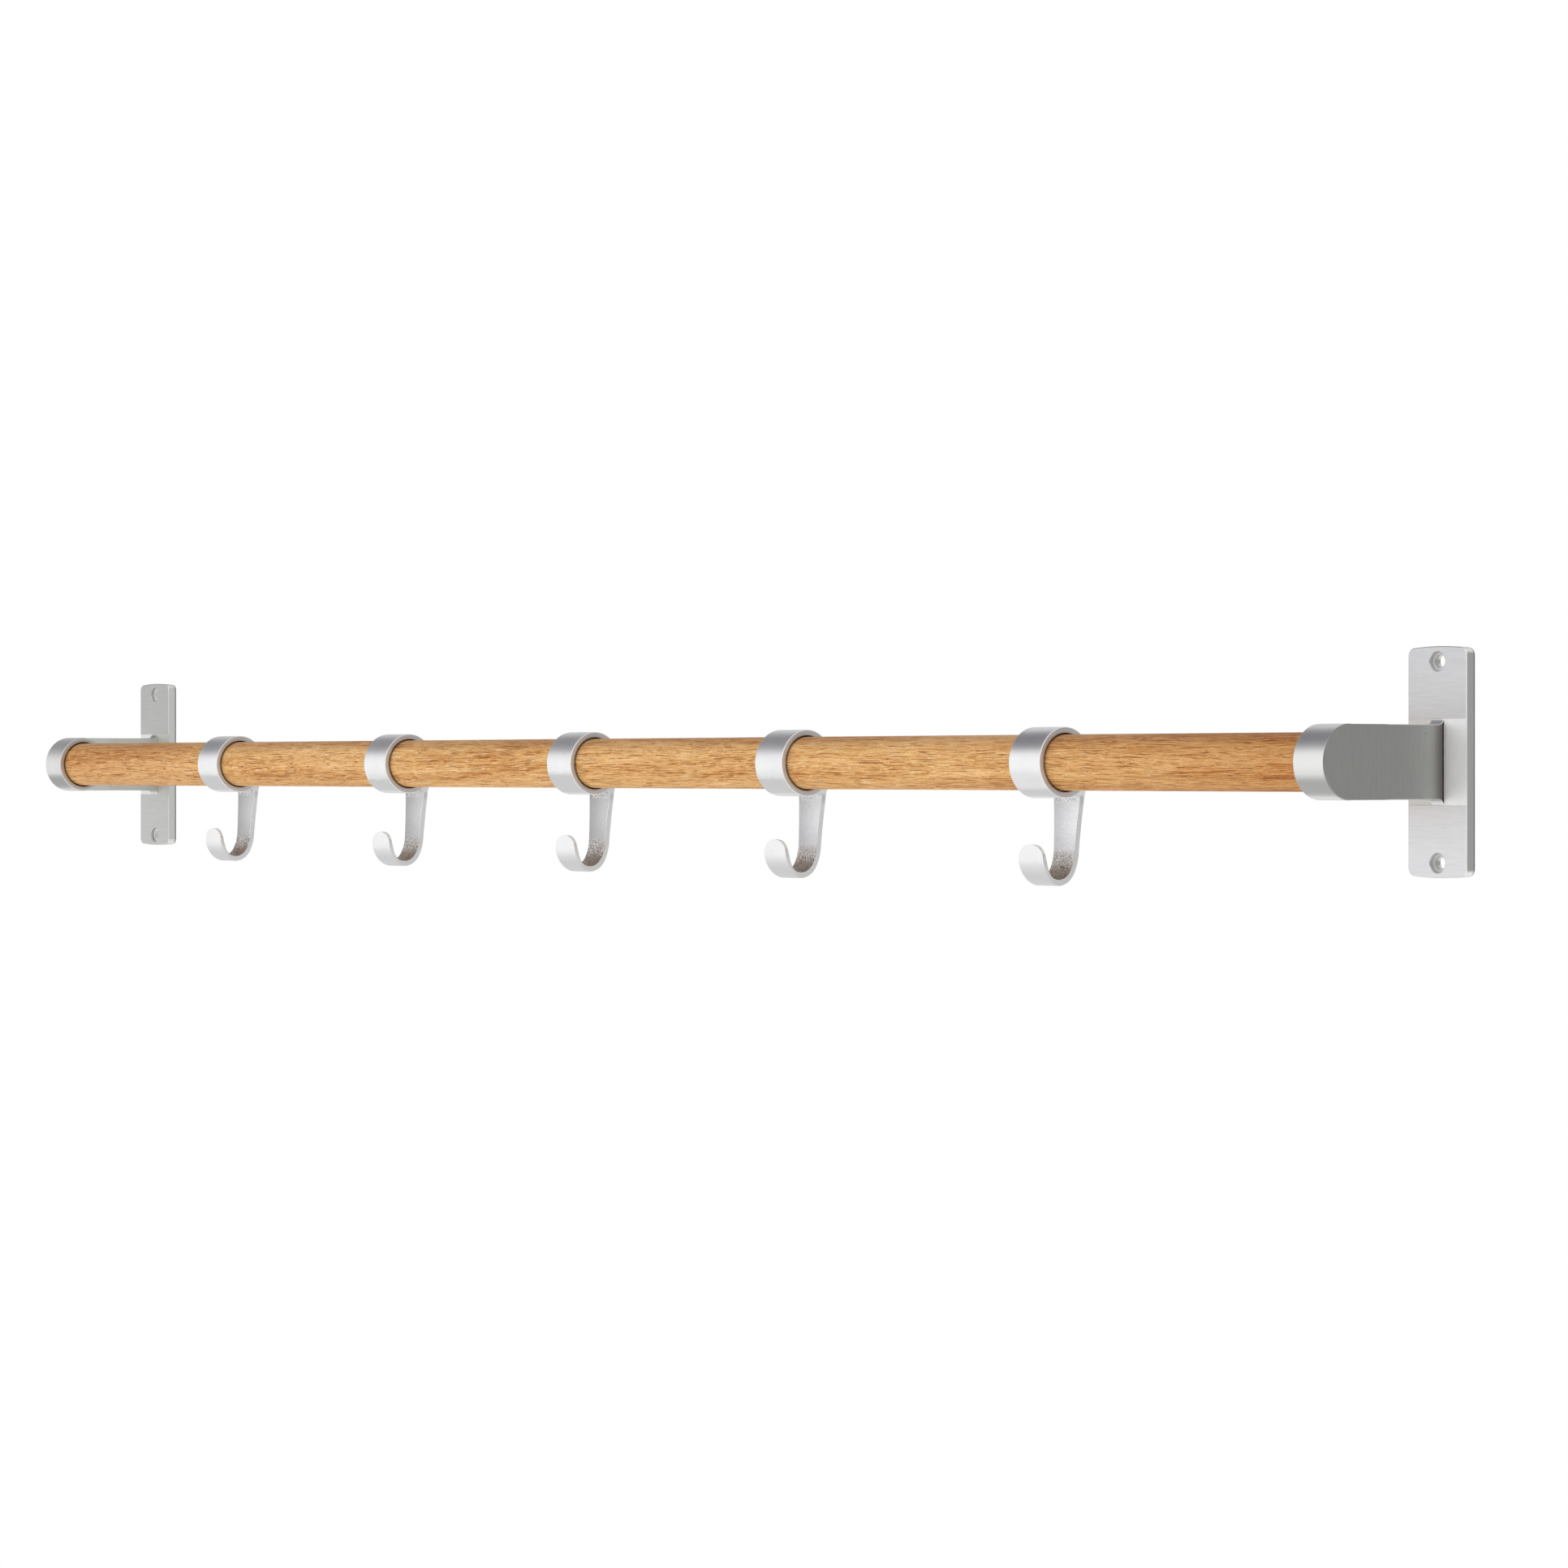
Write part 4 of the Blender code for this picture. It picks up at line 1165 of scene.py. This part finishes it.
        # Painted shade towards the corner between the arm and the plate
        painted_dark = t.times(t.step(self.y, *ARM_SHADE_DEPTHS), self.outside)
        self.paint(t.times(painted_dark, ARM_SHADE_SHARE), ARM_SHADE_COLOUR)
        # Painted shadow line in the corner
        corner = t.times(t.step(self.y, *ARM_CORNER_SHADOW_DEPTHS), self.outside)
        self.paint(t.times(corner, ARM_CORNER_SHADOW_SHARE), ARM_CORNER_SHADOW_COLOUR)

    def add_cup(self):
        """Painted shade on the cup's rim, and a painted dark reflection low on its front."""
        t = self.t
        # Painted shade on the cup's rim
        rim = t.times(t.step(self.facing_x, *RIM_FACING), t.minus(self.cup, self.faces_x))
        rim = t.times(rim, t.step_past(self.side, self.middle, RIM_EASE))
        self.paint(t.times(t.largest(rim, 0.0), RIM_SHADE_SHARE), RIM_SHADE_COLOUR)
        # Painted dark reflection low on the cup's front
        facing_low = t.vector("DOT_PRODUCT", t.normal(), LOW_FRONT)
        low_front = t.times(t.step(facing_low, *LOW_FRONT_FACING), self.cup)
        self.paint(t.times(low_front, LOW_FRONT_REFLECTION_SHARE), LOW_FRONT_REFLECTION_COLOUR)

    def add_pits_and_socket(self):
        """Casting pits, a painted reflection of the wood on the cup's mouth, and the unlit socket round the
        dowel.
        """
        t = self.t
        cells = t.add("ShaderNodeTexVoronoi", {"Vector": self.place, "Scale": CASTING_PIT_WAVES},
                      feature="F1")
        pits = t.step(cells.outputs["Distance"], *CASTING_PIT_SHOWN)
        self.paint(t.times(pits, CASTING_PIT_SHARE), CASTING_PIT_COLOUR)
        radius = t.vector("LENGTH", t.vector("SUBTRACT", t.scaled(self.place, (0, 1, 1)),
                                             (0, AXIS_Y / MM, 0)))
        socket_radius = SOCKET_RADIUS / MM
        inner = t.step_past(self.side, (CUP_OUTER_FACE - CUP_FLOOR) / MM, INNER_SIDE_EASE)
        # Painted reflection of the wood on the cup's mouth
        wood_reflection = t.times(t.step_past(radius, socket_radius, SOCKET_WOOD_REFLECTION_EASE), inner)
        self.paint(t.times(wood_reflection, SOCKET_WOOD_REFLECTION_SHARE), SOCKET_WOOD_REFLECTION_COLOUR)
        self.paint(t.times(t.step_past(radius, socket_radius, IN_SOCKET_EASE), inner), UNLIT_COLOUR)

    def tint_left(self):
        """The left casting is a little warmer, its plate darker and its cup duller."""
        t = self.t
        tint = t.mix(self.off_band, LEFT_TINT, LEFT_PLATE_TINT)
        tint = t.mix(self.on_band, tint, LEFT_BAND_TINT)
        tint = t.mix(t.largest(self.cup, self.hole), tint, LEFT_CUP_TINT)
        self.colour = t.toned(self.left, self.colour, tint)
        self.roughness = t.plus(self.roughness, t.times(self.left, self.cup, LEFT_CUP_ROUGHNESS))

    def finish(self):
        t = self.t
        matt = t.times(t.largest(self.on_band, self.hole, self.lines), BRACKET_MATT)
        matt = t.largest(matt, t.times(self.lit_hole, LIT_HOLE_MATT))
        normal = t.bump(self.grit, GRIT_RELIEF, strength=0.5)
        normal = t.bump(self.brushing, STROKE_RELIEF, strength=0.6, normal=normal)
        finish_material(t, Base_Color=self.colour, Metallic=t.minus(1.0, matt), Roughness=self.roughness,
                        Normal=normal)
        return self.material


def bracket_material():
    """Brushed plates and arms, milled bands, and turned holes and cups."""
    casting = BracketCasting()
    casting.add_brushing()
    casting.add_counterbores()
    casting.add_plate_edges()
    casting.add_arm_shade()
    casting.add_cup()
    casting.add_pits_and_socket()
    casting.tint_left()
    return casting.finish()


# Studio

def light_patch(t, direction, middle, inner, outer):
    """1 within inner degrees of a patch's middle, easing to 0 at outer degrees."""
    nearness = t.vector("DOT_PRODUCT", direction, tuple(Vector(middle).normalized()))
    return t.step(nearness, math.cos(math.radians(outer)), math.cos(math.radians(inner)))


def make_surroundings():
    world = bpy.data.worlds.new("studio")
    world.use_nodes = True
    scene.world = world
    t = Tree(world.node_tree)
    direction = t.add("ShaderNodeTexCoord").outputs["Generated"]
    _, _, up = t.split(direction)
    light = t.mix(t.step(up, *LIGHT_HEIGHTS), *LIGHT_TONES)
    for middle, inner, outer, patch_light in LIGHT_PATCHES:
        light = t.mix(light_patch(t, direction, middle, inner, outer), light, patch_light)
    light = t.mix(t.add("ShaderNodeLightPath").outputs["Is Camera Ray"], light, WHITE)
    background = t.add("ShaderNodeBackground", {"Color": light, "Strength": 1.0})
    t.add("ShaderNodeOutputWorld", {"Surface": background.outputs[0]})


def make_floor():
    material, t = new_material("floor")
    finish_material(t, Base_Color=FLOOR_COLOUR, Roughness=0.9, Specular_IOR_Level=0.2,
                    Emission_Color=(*WHITE, 1.0), Emission_Strength=FLOOR_GLOW)
    shape = bmesh.new()
    bmesh.ops.create_circle(shape, cap_ends=True, radius=FLOOR_RADIUS, segments=FLOOR_STEPS)
    mesh = bpy.data.meshes.new("floor")
    shape.to_mesh(mesh)
    shape.free()
    mesh.materials.append(material)
    floor = add_object("floor", mesh, FLOOR_PLACE)


def make_camera():
    data = bpy.data.cameras.new("photo_view")
    data.sensor_width = SENSOR_WIDTH
    data.lens = FOCAL_PIXELS * SENSOR_WIDTH / PHOTO_PIXELS
    data.shift_y = (HORIZON_ROW - PHOTO_PIXELS / 2) / PHOTO_PIXELS
    camera = bpy.data.objects.new("photo_view", data)
    camera.location = CAMERA_PLACE
    camera.rotation_euler = (math.pi / 2, 0, CAMERA_TURN)
    scene.collection.objects.link(camera)
    scene.camera = camera


make_camera()
make_surroundings()
make_floor()
make_dowel(oak_material())
brackets = bracket_material()
make_bracket("left_bracket", -1, brackets)
make_bracket("right_bracket", 1, brackets)
make_hooks()
